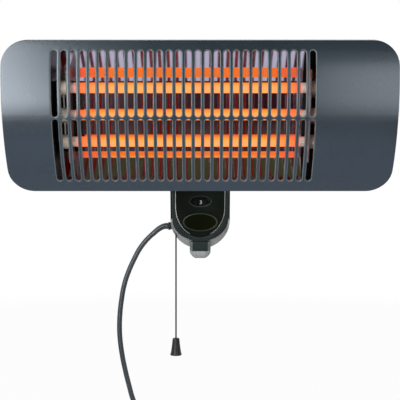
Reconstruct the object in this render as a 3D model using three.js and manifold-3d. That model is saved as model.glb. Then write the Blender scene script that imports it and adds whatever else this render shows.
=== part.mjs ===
// Wall-mounted electric bar heater: three quartz tubes behind a curved slotted guard, a control box
// with a pull-cord switch under it, and a tilting wall bracket. Sizes are in millimetres, +Z is up,
// the heater faces -Y, and the origin is the centre of the wall plate's back face. The pieces are
// placed from the tilt axis's height, and the whole is lowered at the end so that the plate is centred.
import * as THREE from 'three';
import { mergeGeometries, mergeVertices } from 'three/addons/utils/BufferGeometryUtils.js';
import Module from 'manifold-3d';

const wasm = await Module();
wasm.setup();

// ---------------------------------------------------------------- driving sizes
const GAP = 0.3; // clearance between pieces that seat on each other
const PAST = 1; // how far a cutter reaches past what it cuts
const REST_TILT = 15.5; // degrees that the face looks down at rest
const PIVOT_FORWARD = 55; // wall to tilt axis

// Head: the curved cover and the housing behind it
const HEAD_WIDTH = 480;
const FACE_CHORD = 188.5; // height of the face, straight across its curve
const FACE_RADIUS = 215; // radius of the face's curve
const FACE_FACETS = 12;
const HEAD_CORNER = 30;
const HEAD_RISE = 180.25; // tilt axis up to the head's middle
const FACE_FORWARD = 29.1; // tilt axis forward to the face's edges
const COVER_SHEET = 1.2;
const RIM_DEPTH = 13; // fold behind the face's edges
const RIM_LAP = 10; // how far the housing goes into the cover's rim
const RIM_PLAY = 0.4;
const HEAD_DEPTH = 60.1; // face's edges to the housing's back
const HOUSING_SHEET = 1.2;
const HOUSING_SHOULDER = 15; // depth of the tapered part at the housing's back
const HOUSING_TAPER = 12;

// Guard slots, in two rows, as many columns as the tray behind them is long
const SLOT_PITCH = 11.55;
const SLOT_WIDTH = 6.3;
const SLOT_FROM_TRAY = 5.75; // tray's left end to the first slot
const SLOT_TO_TRAY = 10; // least distance from the last slot to the tray's right end
const UPPER_SLOT = 78.2;
const LOWER_SLOT = 80.4;
const BAND = 3.1; // bar left between the two rows
const BAND_RISE = 2.85; // head's middle up to the bar's middle

// Quartz tubes, their caps and their holders
const TUBE_COUNT = 3;
const TUBE_PITCH = 34.2;
const TUBE_DIAMETER = 13;
const TUBE_WALL = 1.1;
const TUBE_SET_BACK = 21.1; // face's edges to the tubes' plane
const HOLDER_INSET = 21; // tray's ends to the two holders
const COIL_DIAMETER = 9.6; // heating winding's outside
const COIL_WIRE = 0.6;
const CAP_DIAMETER = 18;
const CAP_LENGTH = 12;
const CAP_SOCKET = 6;
const HOLDER_SHEET = 1.2;
const HOLDER_HEIGHT = 116;
const HOLDER_FLANGE = 14;
const HOLDER_FRONT = 18; // tubes' plane forward to the holders' edge
const HOLDER_SCREWS_APART = 90;
const JUMPER_DIAMETER = 2;

// Reflector tray
const TRAY_INSET = 55; // head's left edge to the tray's left end
const ELECTRICS_WIDTH = 83; // tray's right end to the head's right edge
const REFLECTOR_SHEET = 0.8;
const REFLECTOR_BEHIND = 22; // tubes' plane back to the tray's floor
const REFLECTOR_FLOOR = 124; // height of the flat floor
const REFLECTOR_MARGIN = 2; // tray's mouth past the slots, above and below
const BOSS_RADIUS = 4.8; // posts in the housing that carry the tray and the holders

// Wiring in the head
const TERMINAL_WIDTH = 24;
const TERMINAL_DEPTH = 14.5;
const TERMINAL_HEIGHT = 44;
const TERMINAL_FROM_TRAY = 28; // tray's outside to the block
const TERMINAL_PITCH = 12;
const LEAD_DIAMETER = 2.6;
const LEAD_HOLE = 4.4;
const LEAD_STRAIGHT = 3; // straight run past the tray's end
const HARNESS_DIAMETER = 6;
const HARNESS_HOLE = 12;
const HARNESS_FLOOR_GAP = 4; // under the harness where it runs along the housing

// Control box
const BOX_FORWARD = 15; // tilt axis forward to the box's front
const BOX_DEPTH = 45;
const BOX_WALL = 2.2;
const BOX_HALF = 39.5; // half the rear shell's width, and its round bottom's radius
const BOX_BOTTOM_RISE = 36; // tilt axis up to the round bottom's centre
const CHIN_DEPTH = 15.7; // sloping chin between the two outlines
const CHIN_SHOULDER = 6; // back of the box that tapers
const CHIN_TAPER = 4;
const FRONT_HALF = 36.7; // the same for the front shell's outline, an ellipse below
const FRONT_BOTTOM_RISE = 44.3;
const FRONT_DROP = 30.5;
const FRONT_DEPTH = 5;
const FASCIA_HALF = 32.4;
const FASCIA_BOTTOM_RISE = 59.7;
const FASCIA_DROP = 39.4;
const FASCIA_THICKNESS = 2;
const FASCIA_RECESS = 2.6;
const FASCIA_TOP_MARGIN = 3;
const WINDOW_RISE = 68.5;
const WINDOW_WIDTH = 26.8;
const WINDOW_HEIGHT = 13;
const WINDOW_LEDGE = 1.2;
const LENS_THICKNESS = 1.8;
const BADGE_RISE = 40.5;
const BADGE_WIDTH = 45.8;
const BADGE_HEIGHT = 24.6;
const BADGE_THICKNESS = 0.7;
const BOX_SCREW_ASIDE = 26;
const BOX_SCREW_BACK = 22; // box's front to its top screws
const SCREW_GRIP = 4; // how far a screw's end stands past the last sheet it holds

// Tilt joint: the rear shell's knuckle round the arm's eye
const KNUCKLE_HALF = 13.8;
const KNUCKLE_RADIUS = 13.8;
const KNUCKLE_CHAMFER = 4;
const KNUCKLE_TOP = 16;
const KNUCKLE_EDGE = 6; // rounding of the knuckle's lower corners
const EYE_RADIUS = 12.2;
const EYE_HALF = 5;
const WASHER_THICKNESS = 1;
const WASHER_RADIUS = 9;
const BOLT_DIAMETER = 6;
const BOLT_HEAD_DIAMETER = 9;
const BOLT_HEAD = 3.6;
const NUT_ACROSS = 8;
const NUT_THICKNESS = 3.2;
const RECESS_DIAMETER = 9.8;
const RECESS_DEPTH = 4;
const CHANNEL_WALL = 2.4;

// Pull switch and indicator drum
const SHAFT_BACK = 19.5; // box's front to the shaft
const SHAFT_DIAMETER = 5;
const SHAFT_LEFT = 36;
const SHAFT_RIGHT = 34;
const DRUM_RADIUS = 13;
const DRUM_LENGTH = 22;
const DRUM_RIM = 3;
const DRUM_HUB = 5.5;
const DRUM_WEB = 3;
const SWITCH_LEFT = 14;
const SWITCH_WIDTH = 19;
const SWITCH_HEIGHT = 26;
const SWITCH_FORWARD = 12; // shaft forward to the switch's front
const BRACKET_RIGHT = -20.4;
const BRACKET_THICKNESS = 3.5;
const BRACKET_HEIGHT = 22;
const BRACKET_FORWARD = 7;
const RATCHET_THICKNESS = 2.8;
const RATCHET_RADIUS = 9.5;
const RATCHET_TEETH = 8;
const RATCHET_TOOTH = 2;
const RATCHET_RISE = 0.95; // share of a tooth's step that its ramp takes
const SPRING_THICKNESS = 2.4;
const SPRING_RADIUS = 7;
const PULLEY_THICKNESS = 4.4;
const PULLEY_RADIUS = 10;
const PULLEY_GROOVE = 2.8;
const CORD_WRAP = 8; // shaft to the pull cord's middle

// Pull cord and toggle
const PULL_CORD_DIAMETER = 2;
const PULL_DROP = 139; // exit from the box down to the toggle
const EXIT_BELOW = 2.4; // surface down to where the cord bends
const GROMMET_RADIUS = 3.1;
const GROMMET_BORE = 3.6;
const GROMMET_ABOVE = 9; // exit up to the grommet's top
const GROMMET_BELOW = 8; // room below the exit for the chin's slope
const TOGGLE_HEIGHT = 22.7;
const TOGGLE_TOP_RADIUS = 4.6;
const TOGGLE_BOTTOM_RADIUS = 7.6;
const TOGGLE_EDGE = 1;

// Wall bracket
const PLATE_RISE = 56; // tilt axis up to the plate's centre
const PLATE_WIDTH = 64;
const PLATE_HEIGHT = 90;
const PLATE_THICKNESS = 4;
const PLATE_CORNER = 10;
const PLATE_HOLE = 6.5;
const PLATE_HOLES_WIDE = 44;
const PLATE_HOLES_TALL = 66;
const ARM_HEIGHT = 18;
const ARM_GUSSET = 16; // height of the gusset over the arm's root
const ARM_GUSSET_LENGTH = 12;
const FLANGE_WIDTH = 24;
const FLANGE_TOP = 30; // plate's centre up to the flange's top
const FLANGE_THICKNESS = 5;
const ARM_SCREWS_APART = 40;

// Mains cord, put away in a coil below, with its plug
const CORD_DIAMETER = 6.8;
const GLAND_BACK = 29; // box's front to the gland
const GLAND_RISE = 26.2;
const GLAND_RADIUS = 5.3;
const GLAND_NECK = 4.4;
const GLAND_OUT = 3.2;
const GLAND_REACH = 6; // box's side in to the gland's end
const CLAMP_WIDTH = 8.5;
const CLAMP_HEIGHT = 14;
const CLAMP_DEPTH = 19;
const CORD_SIDES = 10;
const CORD_STEPS = 26;
const LOOP_RADIUS = 58; // outermost loop's middle
const LOOP_PITCH = 7.8;
const LOOPS_IN = 1.75;
const LOOPS_CLIMB = 0.5;
const LOOPS_OUT = 2;
const LOOP_STEPS = 24;
const LOOP_SIDES = 6;
const TAIL_LENGTH = 45;
const TAIL_STEPS = 4;
const TIE_WIDTH = 5;
const TIE_THICKNESS = 1.2;
const TIE_SLACK = 0.5;
const TIE_ANGLE = 20; // degrees past the coil's top
const PLUG_NECK_RADIUS = 5.5;
const PLUG_NECK = 17;
const PLUG_RADIUS = 18.5;
const PLUG_BODY = 34;
const PLUG_SHOULDER = 12; // height of the plug's taper
const PLUG_WAIST = 11.5; // radius at the taper's top
const PLUG_COLLAR = 2; // height of the step from the taper to the neck
const PLUG_EDGE = 1;
const PIN_RADIUS = 2.4;
const PIN_LENGTH = 19;
const PINS_APART = 19;

// ---------------------------------------------------------------- shapes
const COARSE = 10; // sides of small round things
const ROUND = 16; // sides of larger ones
const SMALL_SCREW = { shank: 3, head: 6.4, rise: 2.2 }; // two diameters and the head's height
const ARM_SCREW = { shank: 4, head: 8, rise: 3 };
const SMALL_HOLE = SMALL_SCREW.shank / 2 + GAP; // radius of a hole for a small screw
const AXES = {
  x: new THREE.Matrix4().makeBasis(...frameOf([0, 1, 0], [0, 0, 1], [1, 0, 0])),
  y: new THREE.Matrix4().makeBasis(...frameOf([1, 0, 0], [0, 0, 1], [0, -1, 0])),
  z: new THREE.Matrix4(),
};

function frameOf(...rows) {
  return rows.map((row) => new THREE.Vector3(...row));
}

/** A closed mesh with merged corners, ready to be joined or cut. */
function solid(geometry) {
  const bare = geometry.clone();
  bare.deleteAttribute('normal');
  bare.deleteAttribute('uv');
  const merged = mergeVertices(bare, 1e-4);
  const index = merged.index.array;
  const kept = [];
  for (let i = 0; i < index.length; i += 3) {
    const [a, b, c] = [index[i], index[i + 1], index[i + 2]];
    if (a !== b && b !== c && a !== c) kept.push(a, b, c);
  }
  return new wasm.Manifold(new wasm.Mesh({
    numProp: 3,
    vertProperties: new Float32Array(merged.attributes.position.array),
    triVerts: new Uint32Array(kept),
  }));
}

/** The same solid as a geometry for a mesh. */
function geometryOf(manifold) {
  const { vertProperties, triVerts } = manifold.getMesh();
  const geometry = new THREE.BufferGeometry();
  geometry.setAttribute('position', new THREE.BufferAttribute(vertProperties, 3));
  geometry.setIndex(new THREE.BufferAttribute(triVerts, 1));
  geometry.computeVertexNormals();
  return geometry;
}

/** A flat outline pushed along an axis. Its points are (y, z) along x, (x, z) along y and (x, y) along z. */
function prism(axis, points, from, to) {
  const shape = new THREE.Shape(points.map(([u, v]) => new THREE.Vector2(u, v)));
  const geometry = new THREE.ExtrudeGeometry(shape, { depth: to - from, bevelEnabled: false });
  geometry.translate(0, 0, axis === 'y' ? -to : from);
  return geometry.applyMatrix4(AXES[axis]);
}

function ellipse(halfU, halfV, u = 0, v = 0, sides = ROUND) {
  return Array.from({ length: sides }, (_, i) => {
    const turn = (2 * Math.PI * (i + 0.5)) / sides;
    return [u + halfU * Math.cos(turn), v + halfV * Math.sin(turn)];
  });
}

/** A rod along an axis through (u, v). */
function rod(axis, radius, from, to, u = 0, v = 0, sides = ROUND) {
  return prism(axis, ellipse(radius, radius, u, v, sides), from, to);
}

function block(x0, x1, y0, y1, z0, z1) {
  const geometry = new THREE.BoxGeometry(x1 - x0, y1 - y0, z1 - z0);
  return geometry.translate((x0 + x1) / 2, (y0 + y1) / 2, (z0 + z1) / 2);
}

/** A profile of [radius, place] pairs turned about an axis through the origin. */
function turned(axis, profile, sides = ROUND) {
  const geometry = new THREE.LatheGeometry(profile.map(([r, h]) => new THREE.Vector2(r, h)), sides);
  if (axis === 'x') geometry.rotateZ(-Math.PI / 2);
  if (axis === 'z') geometry.rotateX(Math.PI / 2);
  return solid(geometry).volume() < 0 ? turned(axis, [...profile].reverse(), sides) : geometry;
}

/** A rectangle with round corners, from its left, right, bottom and top. */
function roundedBox(left, right, bottom, top, corner, steps = 5) {
  const centres = [[right, top, 0], [left, top, 1], [left, bottom, 2], [right, bottom, 3]];
  return centres.flatMap(([u, v, quarter]) => Array.from({ length: steps + 1 }, (_, i) => {
    const turn = (Math.PI / 2) * (quarter + i / steps);
    const inU = u - Math.sign(u - (left + right) / 2) * corner;
    const inV = v - Math.sign(v - (bottom + top) / 2) * corner;
    return [inU + corner * Math.cos(turn), inV + corner * Math.sin(turn)];
  }));
}

/** A U: straight sides down to `centre`, then half an ellipse that drops `drop` below it. */
function uOutline(half, centre, drop, top, steps = 20) {
  const bottom = Array.from({ length: steps + 1 }, (_, i) => {
    const turn = Math.PI + (Math.PI * i) / steps;
    return [half * Math.cos(turn), centre + drop * Math.sin(turn)];
  });
  return [[-half, top], ...bottom, [half, top]];
}

/** A solid through sections {y, points}, each with as many points, in (x, z). */
function loft(sections) {
  const count = sections[0].points.length;
  const places = sections.flatMap(({ y, points }) => points.map(([x, z]) => [x, y, z]));
  const faces = [];
  for (let ring = 0; ring + 1 < sections.length; ring += 1) {
    for (let i = 0; i < count; i += 1) {
      const a = ring * count + i;
      const b = ring * count + ((i + 1) % count);
      faces.push(a, b, b + count, a, b + count, a + count);
    }
  }
  const last = (sections.length - 1) * count;
  for (let i = 1; i + 1 < count; i += 1) {
    faces.push(0, i + 1, i, last, last + i, last + i + 1);
  }
  const geometry = new THREE.BufferGeometry();
  geometry.setAttribute('position', new THREE.Float32BufferAttribute(places.flat(), 3));
  geometry.setIndex(faces);
  if (solid(geometry).volume() > 0) return geometry;
  geometry.setIndex(faces.map((_, i) => faces[i - (i % 3) + (2 - (i % 3))]));
  return geometry;
}

/** A round tube along a curve. */
function tube(curve, diameter, steps, sides = 8) {
  const section = ellipse(diameter / 2, diameter / 2, 0, 0, sides).map(([u, v]) => new THREE.Vector2(u, v));
  return new THREE.ExtrudeGeometry(new THREE.Shape(section), { extrudePath: curve, steps });
}

function through(...points) {
  const places = points.map((point) => new THREE.Vector3(...point));
  return new THREE.CatmullRomCurve3(places, false, 'centripetal');
}

function spanOf(a, b) {
  return [Math.min(a, b), Math.max(a, b)];
}

/** A pan-head screw: head from `seat` outwards by its height, shank the other way. */
function screw(axis, seat, out, length, [u, v], size = SMALL_SCREW) {
  return solid(rod(axis, size.head / 2, ...spanOf(seat, seat + out * size.rise), u, v, COARSE))
    .add(solid(rod(axis, size.shank / 2, ...spanOf(seat, seat - out * length), u, v, COARSE)));
}

const FINISHES = {
  slate: { color: 0x3f4b57, roughness: 0.35, metalness: 0.4 },
  black: { color: 0x23282b, roughness: 0.45 },
  grey: { color: 0x6a6e73, roughness: 0.5 },
  steel: { color: 0xb8bcc0, roughness: 0.35, metalness: 0.9 },
  polished: { color: 0xdadde2, roughness: 0.08, metalness: 1 },
  ceramic: { color: 0xf0ece4, roughness: 0.6 },
  quartz: { color: 0xffc09a, roughness: 0.2, transparent: true, opacity: 0.7 },
  glow: { color: 0xff7a3a, roughness: 0.5, emissive: 0xff5a1e },
  lens: { color: 0x0a0c0d, roughness: 0.1, transparent: true, opacity: 0.4 },
  badge: { color: 0x12130a, roughness: 0.25 },
  white: { color: 0xe8e8e6, roughness: 0.5 },
  cord: { color: 0x4a4f54, roughness: 0.6 },
};

const heater = new THREE.Group(); // tilt axis's height at its origin
const tilting = new THREE.Group(); // tilt axis at its origin
const head = new THREE.Group(); // head's middle at its origin
heater.add(tilting);
tilting.add(head);
tilting.position.set(0, -PIVOT_FORWARD, 0);
tilting.rotation.x = THREE.MathUtils.degToRad(REST_TILT);
head.position.z = HEAD_RISE;
heater.position.z = -PLATE_RISE;

function piece(group, name, shape, finish) {
  const geometry = shape.getMesh ? geometryOf(shape) : shape;
  const mesh = new THREE.Mesh(geometry, new THREE.MeshStandardMaterial(FINISHES[finish]));
  mesh.name = name;
  group.add(mesh);
}

// ---------------------------------------------------------------- head: cover, housing, reflector
const halfWidth = HEAD_WIDTH / 2;
const halfChord = FACE_CHORD / 2;
const trayLeft = -halfWidth + TRAY_INSET;
const trayRight = halfWidth - ELECTRICS_WIDTH;
const tubesMiddle = (trayLeft + trayRight) / 2;
const faceCentre = -FACE_FORWARD + Math.sqrt(FACE_RADIUS ** 2 - halfChord ** 2);
const rimBack = -FACE_FORWARD + RIM_DEPTH;
const housingFront = rimBack - RIM_LAP;
const housingBack = -FACE_FORWARD + HEAD_DEPTH;
const housingInset = COVER_SHEET + RIM_PLAY;
const housingFloor = -halfChord + housingInset;

/** Where the face's curve is, `inset` under its outer surface. */
function faceAt(z, inset = 0) {
  return faceCentre - Math.sqrt((FACE_RADIUS - inset) ** 2 - z ** 2);
}

/** The front of something that seats against the cover's inside at a height, past the curve's flat facets. */
function seatBehindFace(z) {
  const facetTurn = Math.asin(halfChord / FACE_RADIUS) / FACE_FACETS;
  return faceAt(z, COVER_SHEET) + FACE_RADIUS * (1 - Math.cos(facetTurn)) + GAP;
}

/** Everything behind the face's curve and in front of `back`, as an outline in (y, z). */
function behindFace(inset, reach, back) {
  const limit = Math.asin(reach / (FACE_RADIUS - inset));
  const curve = Array.from({ length: FACE_FACETS + 1 }, (_, i) => {
    const turn = limit * (1 - (2 * i) / FACE_FACETS);
    const radius = FACE_RADIUS - inset;
    return [faceCentre - radius * Math.cos(turn), radius * Math.sin(turn)];
  });
  return [...curve, [back, -reach], [back, reach]];
}

function slotCutters() {
  const lowerTop = BAND_RISE - BAND / 2;
  const upperBottom = BAND_RISE + BAND / 2;
  const rows = [[upperBottom, upperBottom + UPPER_SLOT], [lowerTop - LOWER_SLOT, lowerTop]];
  const first = trayLeft + SLOT_FROM_TRAY;
  const columns = Math.floor((trayRight - SLOT_TO_TRAY - SLOT_WIDTH - first) / SLOT_PITCH) + 1;
  const cutters = [];
  for (const [bottom, top] of rows) {
    for (let column = 0; column < columns; column += 1) {
      const left = first + column * SLOT_PITCH;
      const outline = roundedBox(left, left + SLOT_WIDTH, bottom, top, SLOT_WIDTH / 2, 2);
      cutters.push(prism('y', outline, faceAt(0) - PAST, rimBack));
    }
  }
  return solid(mergeGeometries(cutters));
}

function makeCover() {
  const outline = roundedBox(-halfWidth, halfWidth, -halfChord, halfChord, HEAD_CORNER);
  const hollowOutline = roundedBox(
    -halfWidth + COVER_SHEET, halfWidth - COVER_SHEET,
    -halfChord + COVER_SHEET, halfChord - COVER_SHEET, HEAD_CORNER - COVER_SHEET,
  );
  const full = solid(prism('x', behindFace(0, halfChord, rimBack), -halfWidth, halfWidth))
    .intersect(solid(prism('y', outline, faceAt(0) - PAST, rimBack)));
  const under = behindFace(COVER_SHEET, halfChord - COVER_SHEET / 2, rimBack + PAST);
  const hollow = solid(prism('x', under, -halfWidth, halfWidth))
    .intersect(solid(prism('y', hollowOutline, faceAt(0) - PAST, rimBack + PAST)));
  piece(head, 'front_cover', full.subtract(hollow).subtract(slotCutters()), 'slate');
}

/** The housing's outline at a depth, or its hollow's when `wall` is set. Its floor stays flat for the box. */
function housingSection(y, taper, wall) {
  const inset = housingInset + wall;
  const floorTaper = y > housingBack - HOUSING_SHOULDER / 2 ? taper / 2 : 0;
  return {
    y,
    points: roundedBox(
      -halfWidth + inset + taper, halfWidth - inset - taper,
      -halfChord + inset + floorTaper, halfChord - inset - taper, HEAD_CORNER - inset,
    ),
  };
}

const tubeY = -FACE_FORWARD + TUBE_SET_BACK;
const holderLeft = trayLeft + HOLDER_INSET; // inner faces of the two holders
const holderRight = trayRight - HOLDER_INSET;
const trayFloor = tubeY + REFLECTOR_BEHIND; // tray's front surface at its floor
const trayBack = trayFloor + REFLECTOR_SHEET;
const harnessX = SWITCH_LEFT + SWITCH_WIDTH / 2;
const harnessY = -BOX_FORWARD + SHAFT_BACK + SWITCH_FORWARD + HARNESS_DIAMETER / 2;
const holderFlange = HOLDER_SHEET + HOLDER_FLANGE / 2; // holder's inner face to its flange's middle
const holderScrewPlaces = [holderLeft - holderFlange, holderRight + holderFlange]
  .flatMap((x) => [-1, 1].map((side) => [x, (side * HOLDER_SCREWS_APART) / 2]));

function makeHousing() {
  const shoulder = housingBack - HOUSING_SHOULDER;
  const middle = housingBack - HOUSING_SHOULDER / 2;
  const inside = housingBack - HOUSING_SHEET;
  let housing = solid(loft([
    housingSection(housingFront, 0, 0),
    housingSection(shoulder, HOUSING_TAPER / 4, 0),
    housingSection(middle, HOUSING_TAPER / 2, 0),
    housingSection(housingBack, HOUSING_TAPER, 0),
  ])).subtract(solid(loft([
    housingSection(housingFront - PAST, 0, HOUSING_SHEET),
    housingSection(shoulder, HOUSING_TAPER / 4, HOUSING_SHEET),
    housingSection(middle, HOUSING_TAPER / 2, HOUSING_SHEET),
    housingSection(inside, HOUSING_TAPER, HOUSING_SHEET),
  ])));
  for (const [x, z] of holderScrewPlaces) {
    const boss = solid(rod('y', BOSS_RADIUS, trayBack + GAP, inside + HOUSING_SHEET / 2, x, z, COARSE));
    const hole = solid(rod('y', SMALL_HOLE, trayBack, housingBack + PAST, x, z, COARSE));
    housing = housing.add(boss).subtract(hole);
  }
  const floorHole = (radius, x, y) => solid(
    rod('z', radius, housingFloor - PAST, housingFloor + HOUSING_SHEET + PAST, x, y, COARSE),
  );
  housing = housing.subtract(floorHole(HARNESS_HOLE / 2, harnessX, harnessY));
  for (const side of [-1, 1]) {
    const place = [side * BOX_SCREW_ASIDE, -BOX_FORWARD + BOX_SCREW_BACK];
    housing = housing.subtract(floorHole(SMALL_HOLE, ...place));
  }
  piece(head, 'rear_housing', housing, 'slate');
}

/** Each tube's height above the head's middle, from the top one down. */
const tubeRises = Array.from({ length: TUBE_COUNT }, (_, i) => ((TUBE_COUNT - 1) / 2 - i) * TUBE_PITCH);

function makeReflector() {
  const mouthTop = BAND_RISE + BAND / 2 + UPPER_SLOT + REFLECTOR_MARGIN;
  const mouthBottom = BAND_RISE - BAND / 2 - LOWER_SLOT - REFLECTOR_MARGIN;
  const front = seatBehindFace(mouthTop + REFLECTOR_SHEET);
  const section = (y, bottom, top, out) => ({
    y,
    points: [
      [trayLeft - out, bottom - out], [trayRight + out, bottom - out],
      [trayRight + out, top + out], [trayLeft - out, top + out],
    ],
  });
  const floorHalf = REFLECTOR_FLOOR / 2;
  let tray = solid(loft([
    section(front, mouthBottom, mouthTop, REFLECTOR_SHEET),
    section(trayBack, -floorHalf, floorHalf, REFLECTOR_SHEET),
  ])).subtract(solid(loft([
    section(front - PAST, mouthBottom, mouthTop, 0),
    section(front, mouthBottom, mouthTop, 0),
    section(trayFloor, -floorHalf, floorHalf, 0),
  ])));
  for (const [x, z] of holderScrewPlaces) {
    const hole = rod('y', SMALL_HOLE, trayFloor - PAST, trayBack + PAST, x, z, COARSE);
    tray = tray.subtract(solid(hole));
  }
  for (const rise of tubeRises) {
    const end = trayRight + REFLECTOR_SHEET;
    const hole = rod('x', LEAD_HOLE / 2, trayRight - PAST, end + PAST, tubeY, rise, COARSE);
    tray = tray.subtract(solid(hole));
  }
  piece(head, 'reflector', tray, 'polished');
}

makeCover();
makeHousing();
makeReflector();

// ---------------------------------------------------------------- head: tubes, caps, holders, wiring
/** A bent plate with a hole for each tube. `inner` is its face towards the tubes and `out` points away. */
function makeHolder(name, inner, out) {
  const outer = inner + out * HOLDER_SHEET;
  const tip = outer + out * HOLDER_FLANGE;
  const back = trayFloor - GAP;
  const half = HOLDER_HEIGHT / 2;
  let holder = solid(block(...spanOf(inner, outer), tubeY - HOLDER_FRONT, back, -half, half))
    .add(solid(block(...spanOf(inner, tip), back - HOLDER_SHEET, back, -half, half)));
  for (const rise of tubeRises) {
    const through = spanOf(inner - out * PAST, outer + out * PAST);
    holder = holder.subtract(solid(rod('x', TUBE_DIAMETER / 2 + GAP, ...through, tubeY, rise)));
  }
  for (const [x, z] of holderScrewPlaces.filter(([place]) => Math.sign(place - inner) === out)) {
    const hole = rod('y', SMALL_HOLE, back - HOLDER_SHEET - PAST, back + PAST, x, z, COARSE);
    holder = holder.subtract(solid(hole));
  }
  piece(head, name, holder, 'steel');
}

/** A ceramic cap with a socket for the tube's end. */
function makeCap(name, holderFace, out, rise) {
  const mouth = holderFace + out * (HOLDER_SHEET + GAP);
  const end = mouth + out * CAP_LENGTH;
  const socket = mouth + out * CAP_SOCKET;
  const cap = solid(rod('x', CAP_DIAMETER / 2, ...spanOf(mouth, end), tubeY, rise))
    .subtract(solid(rod('x', TUBE_DIAMETER / 2 + GAP, ...spanOf(mouth - out * PAST, socket), tubeY, rise)));
  piece(head, name, cap, 'ceramic');
}

const tubeReach = (holderRight - holderLeft) / 2 + HOLDER_SHEET + CAP_SOCKET; // half the quartz tube's length
const capEnd = holderRight + HOLDER_SHEET + GAP + CAP_LENGTH;
const terminalLeft = trayRight + REFLECTOR_SHEET + TERMINAL_FROM_TRAY;
const terminalBack = housingBack - HOUSING_SHEET - GAP;
const terminalY = terminalBack - TERMINAL_DEPTH / 2;

function makeTubes() {
  ['upper', 'middle', 'lower'].forEach((place, i) => {
    const rise = tubeRises[i];
    const from = tubesMiddle - tubeReach;
    const to = tubesMiddle + tubeReach;
    const glass = solid(rod('x', TUBE_DIAMETER / 2, from, to, tubeY, rise))
      .subtract(solid(rod('x', TUBE_DIAMETER / 2 - TUBE_WALL, from - PAST, to + PAST, tubeY, rise)));
    const winding = solid(rod('x', COIL_DIAMETER / 2, from + GAP, to - GAP, tubeY, rise, COARSE))
      .subtract(solid(rod('x', COIL_DIAMETER / 2 - COIL_WIRE, from, to, tubeY, rise, COARSE)));
    piece(head, `quartz_tube_${place}`, glass, 'quartz');
    piece(head, `heating_coil_${place}`, winding, 'glow');
    makeCap(`end_cap_${place}_left`, holderLeft, -1, rise);
    makeCap(`end_cap_${place}_right`, holderRight, 1, rise);
    const terminalRise = ((TUBE_COUNT - 1) / 2 - i) * TERMINAL_PITCH;
    const start = capEnd + GAP;
    const out = trayRight + REFLECTOR_SHEET + LEAD_STRAIGHT;
    const stop = terminalLeft - GAP;
    const lead = tube(through(
      [start, tubeY, rise],
      [(start + out) / 2, tubeY, rise],
      [out, tubeY, rise],
      [(out + stop) / 2, (tubeY + terminalY) / 2, (rise + terminalRise) / 2],
      [stop - LEAD_DIAMETER * 2, terminalY, terminalRise],
      [stop, terminalY, terminalRise],
    ), LEAD_DIAMETER, 12);
    piece(head, `lead_${place}`, lead, 'white');
  });
}

/** Short wires that join neighbouring caps at the left. */
function makeJumpers() {
  const x = holderLeft - HOLDER_SHEET - GAP - CAP_LENGTH / 2;
  ['upper', 'lower'].forEach((place, i) => {
    const top = tubeRises[i] - CAP_DIAMETER / 2 - GAP;
    const bottom = tubeRises[i + 1] + CAP_DIAMETER / 2 + GAP;
    piece(head, `jumper_${place}`, rod('z', JUMPER_DIAMETER / 2, bottom, top, x, tubeY, COARSE), 'white');
  });
}

const boxTop = HEAD_RISE + housingFloor - GAP; // in the tilting group
const switchTop = WINDOW_RISE + SWITCH_HEIGHT / 2;

function makeWiring() {
  const half = TERMINAL_HEIGHT / 2;
  const right = terminalLeft + TERMINAL_WIDTH;
  const body = block(terminalLeft, right, terminalBack - TERMINAL_DEPTH, terminalBack, -half, half);
  piece(head, 'terminal_block', body, 'ceramic');
  const x = (terminalLeft + right) / 2;
  const run = housingFloor + HOUSING_SHEET + HARNESS_FLOOR_GAP + HARNESS_DIAMETER / 2;
  const turn = HARNESS_DIAMETER * 2;
  const harness = tube(through(
    [x, terminalY, -half - GAP],
    [x, terminalY, -half - turn],
    [x - turn, terminalY, run + turn],
    [x - turn * 3, terminalY, run],
    [(x + harnessX) / 2, terminalY, run],
    [harnessX + turn, harnessY, run],
    [harnessX, harnessY, housingFloor],
    [harnessX, harnessY, switchTop + GAP - HEAD_RISE],
  ), HARNESS_DIAMETER, 30);
  piece(head, 'harness', harness, 'black');
}

function makeHolderScrews() {
  const names = ['left_lower', 'left_upper', 'right_lower', 'right_upper'];
  holderScrewPlaces.forEach(([x, z], i) => {
    const seat = housingBack + GAP;
    const length = seat - (trayFloor - GAP - HOLDER_SHEET) + SCREW_GRIP / 2;
    piece(head, `holder_screw_${names[i]}`, screw('y', seat, 1, length, [x, z]), 'steel');
  });
}

makeHolder('tube_holder_left', holderLeft, -1);
makeHolder('tube_holder_right', holderRight, 1);
makeTubes();
makeJumpers();
makeWiring();
makeHolderScrews();

// ---------------------------------------------------------------- control box
const boxFront = -BOX_FORWARD;
const boxBack = boxFront + BOX_DEPTH;
const frontShellBack = boxFront + FRONT_DEPTH;
const rearShellFront = frontShellBack + GAP;
const shaftY = boxFront + SHAFT_BACK;
const glandY = boxFront + GLAND_BACK;
const slotHalf = EYE_HALF + WASHER_THICKNESS + 2 * GAP; // half the gap between the knuckle's cheeks

/** The rear shell's outline: `blend` 0 is the front shell's, 1 the full round bottom. */
function boxOutline(blend, inset) {
  const mix = (a, b) => a + (b - a) * blend;
  const bottom = mix(FRONT_BOTTOM_RISE, BOX_BOTTOM_RISE);
  const drop = mix(FRONT_DROP, BOX_HALF);
  return uOutline(mix(FRONT_HALF, BOX_HALF) - inset, bottom, drop - inset, boxTop - inset);
}

function rearShellBlank(inset) {
  const chinBack = rearShellFront + CHIN_DEPTH;
  return solid(loft([
    { y: rearShellFront - (inset ? PAST : 0), points: boxOutline(0, inset) },
    { y: chinBack, points: boxOutline(1, inset) },
    { y: boxBack - CHIN_SHOULDER, points: boxOutline(1, inset) },
    { y: boxBack - inset, points: boxOutline(1, inset + CHIN_TAPER) },
  ]));
}

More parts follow.
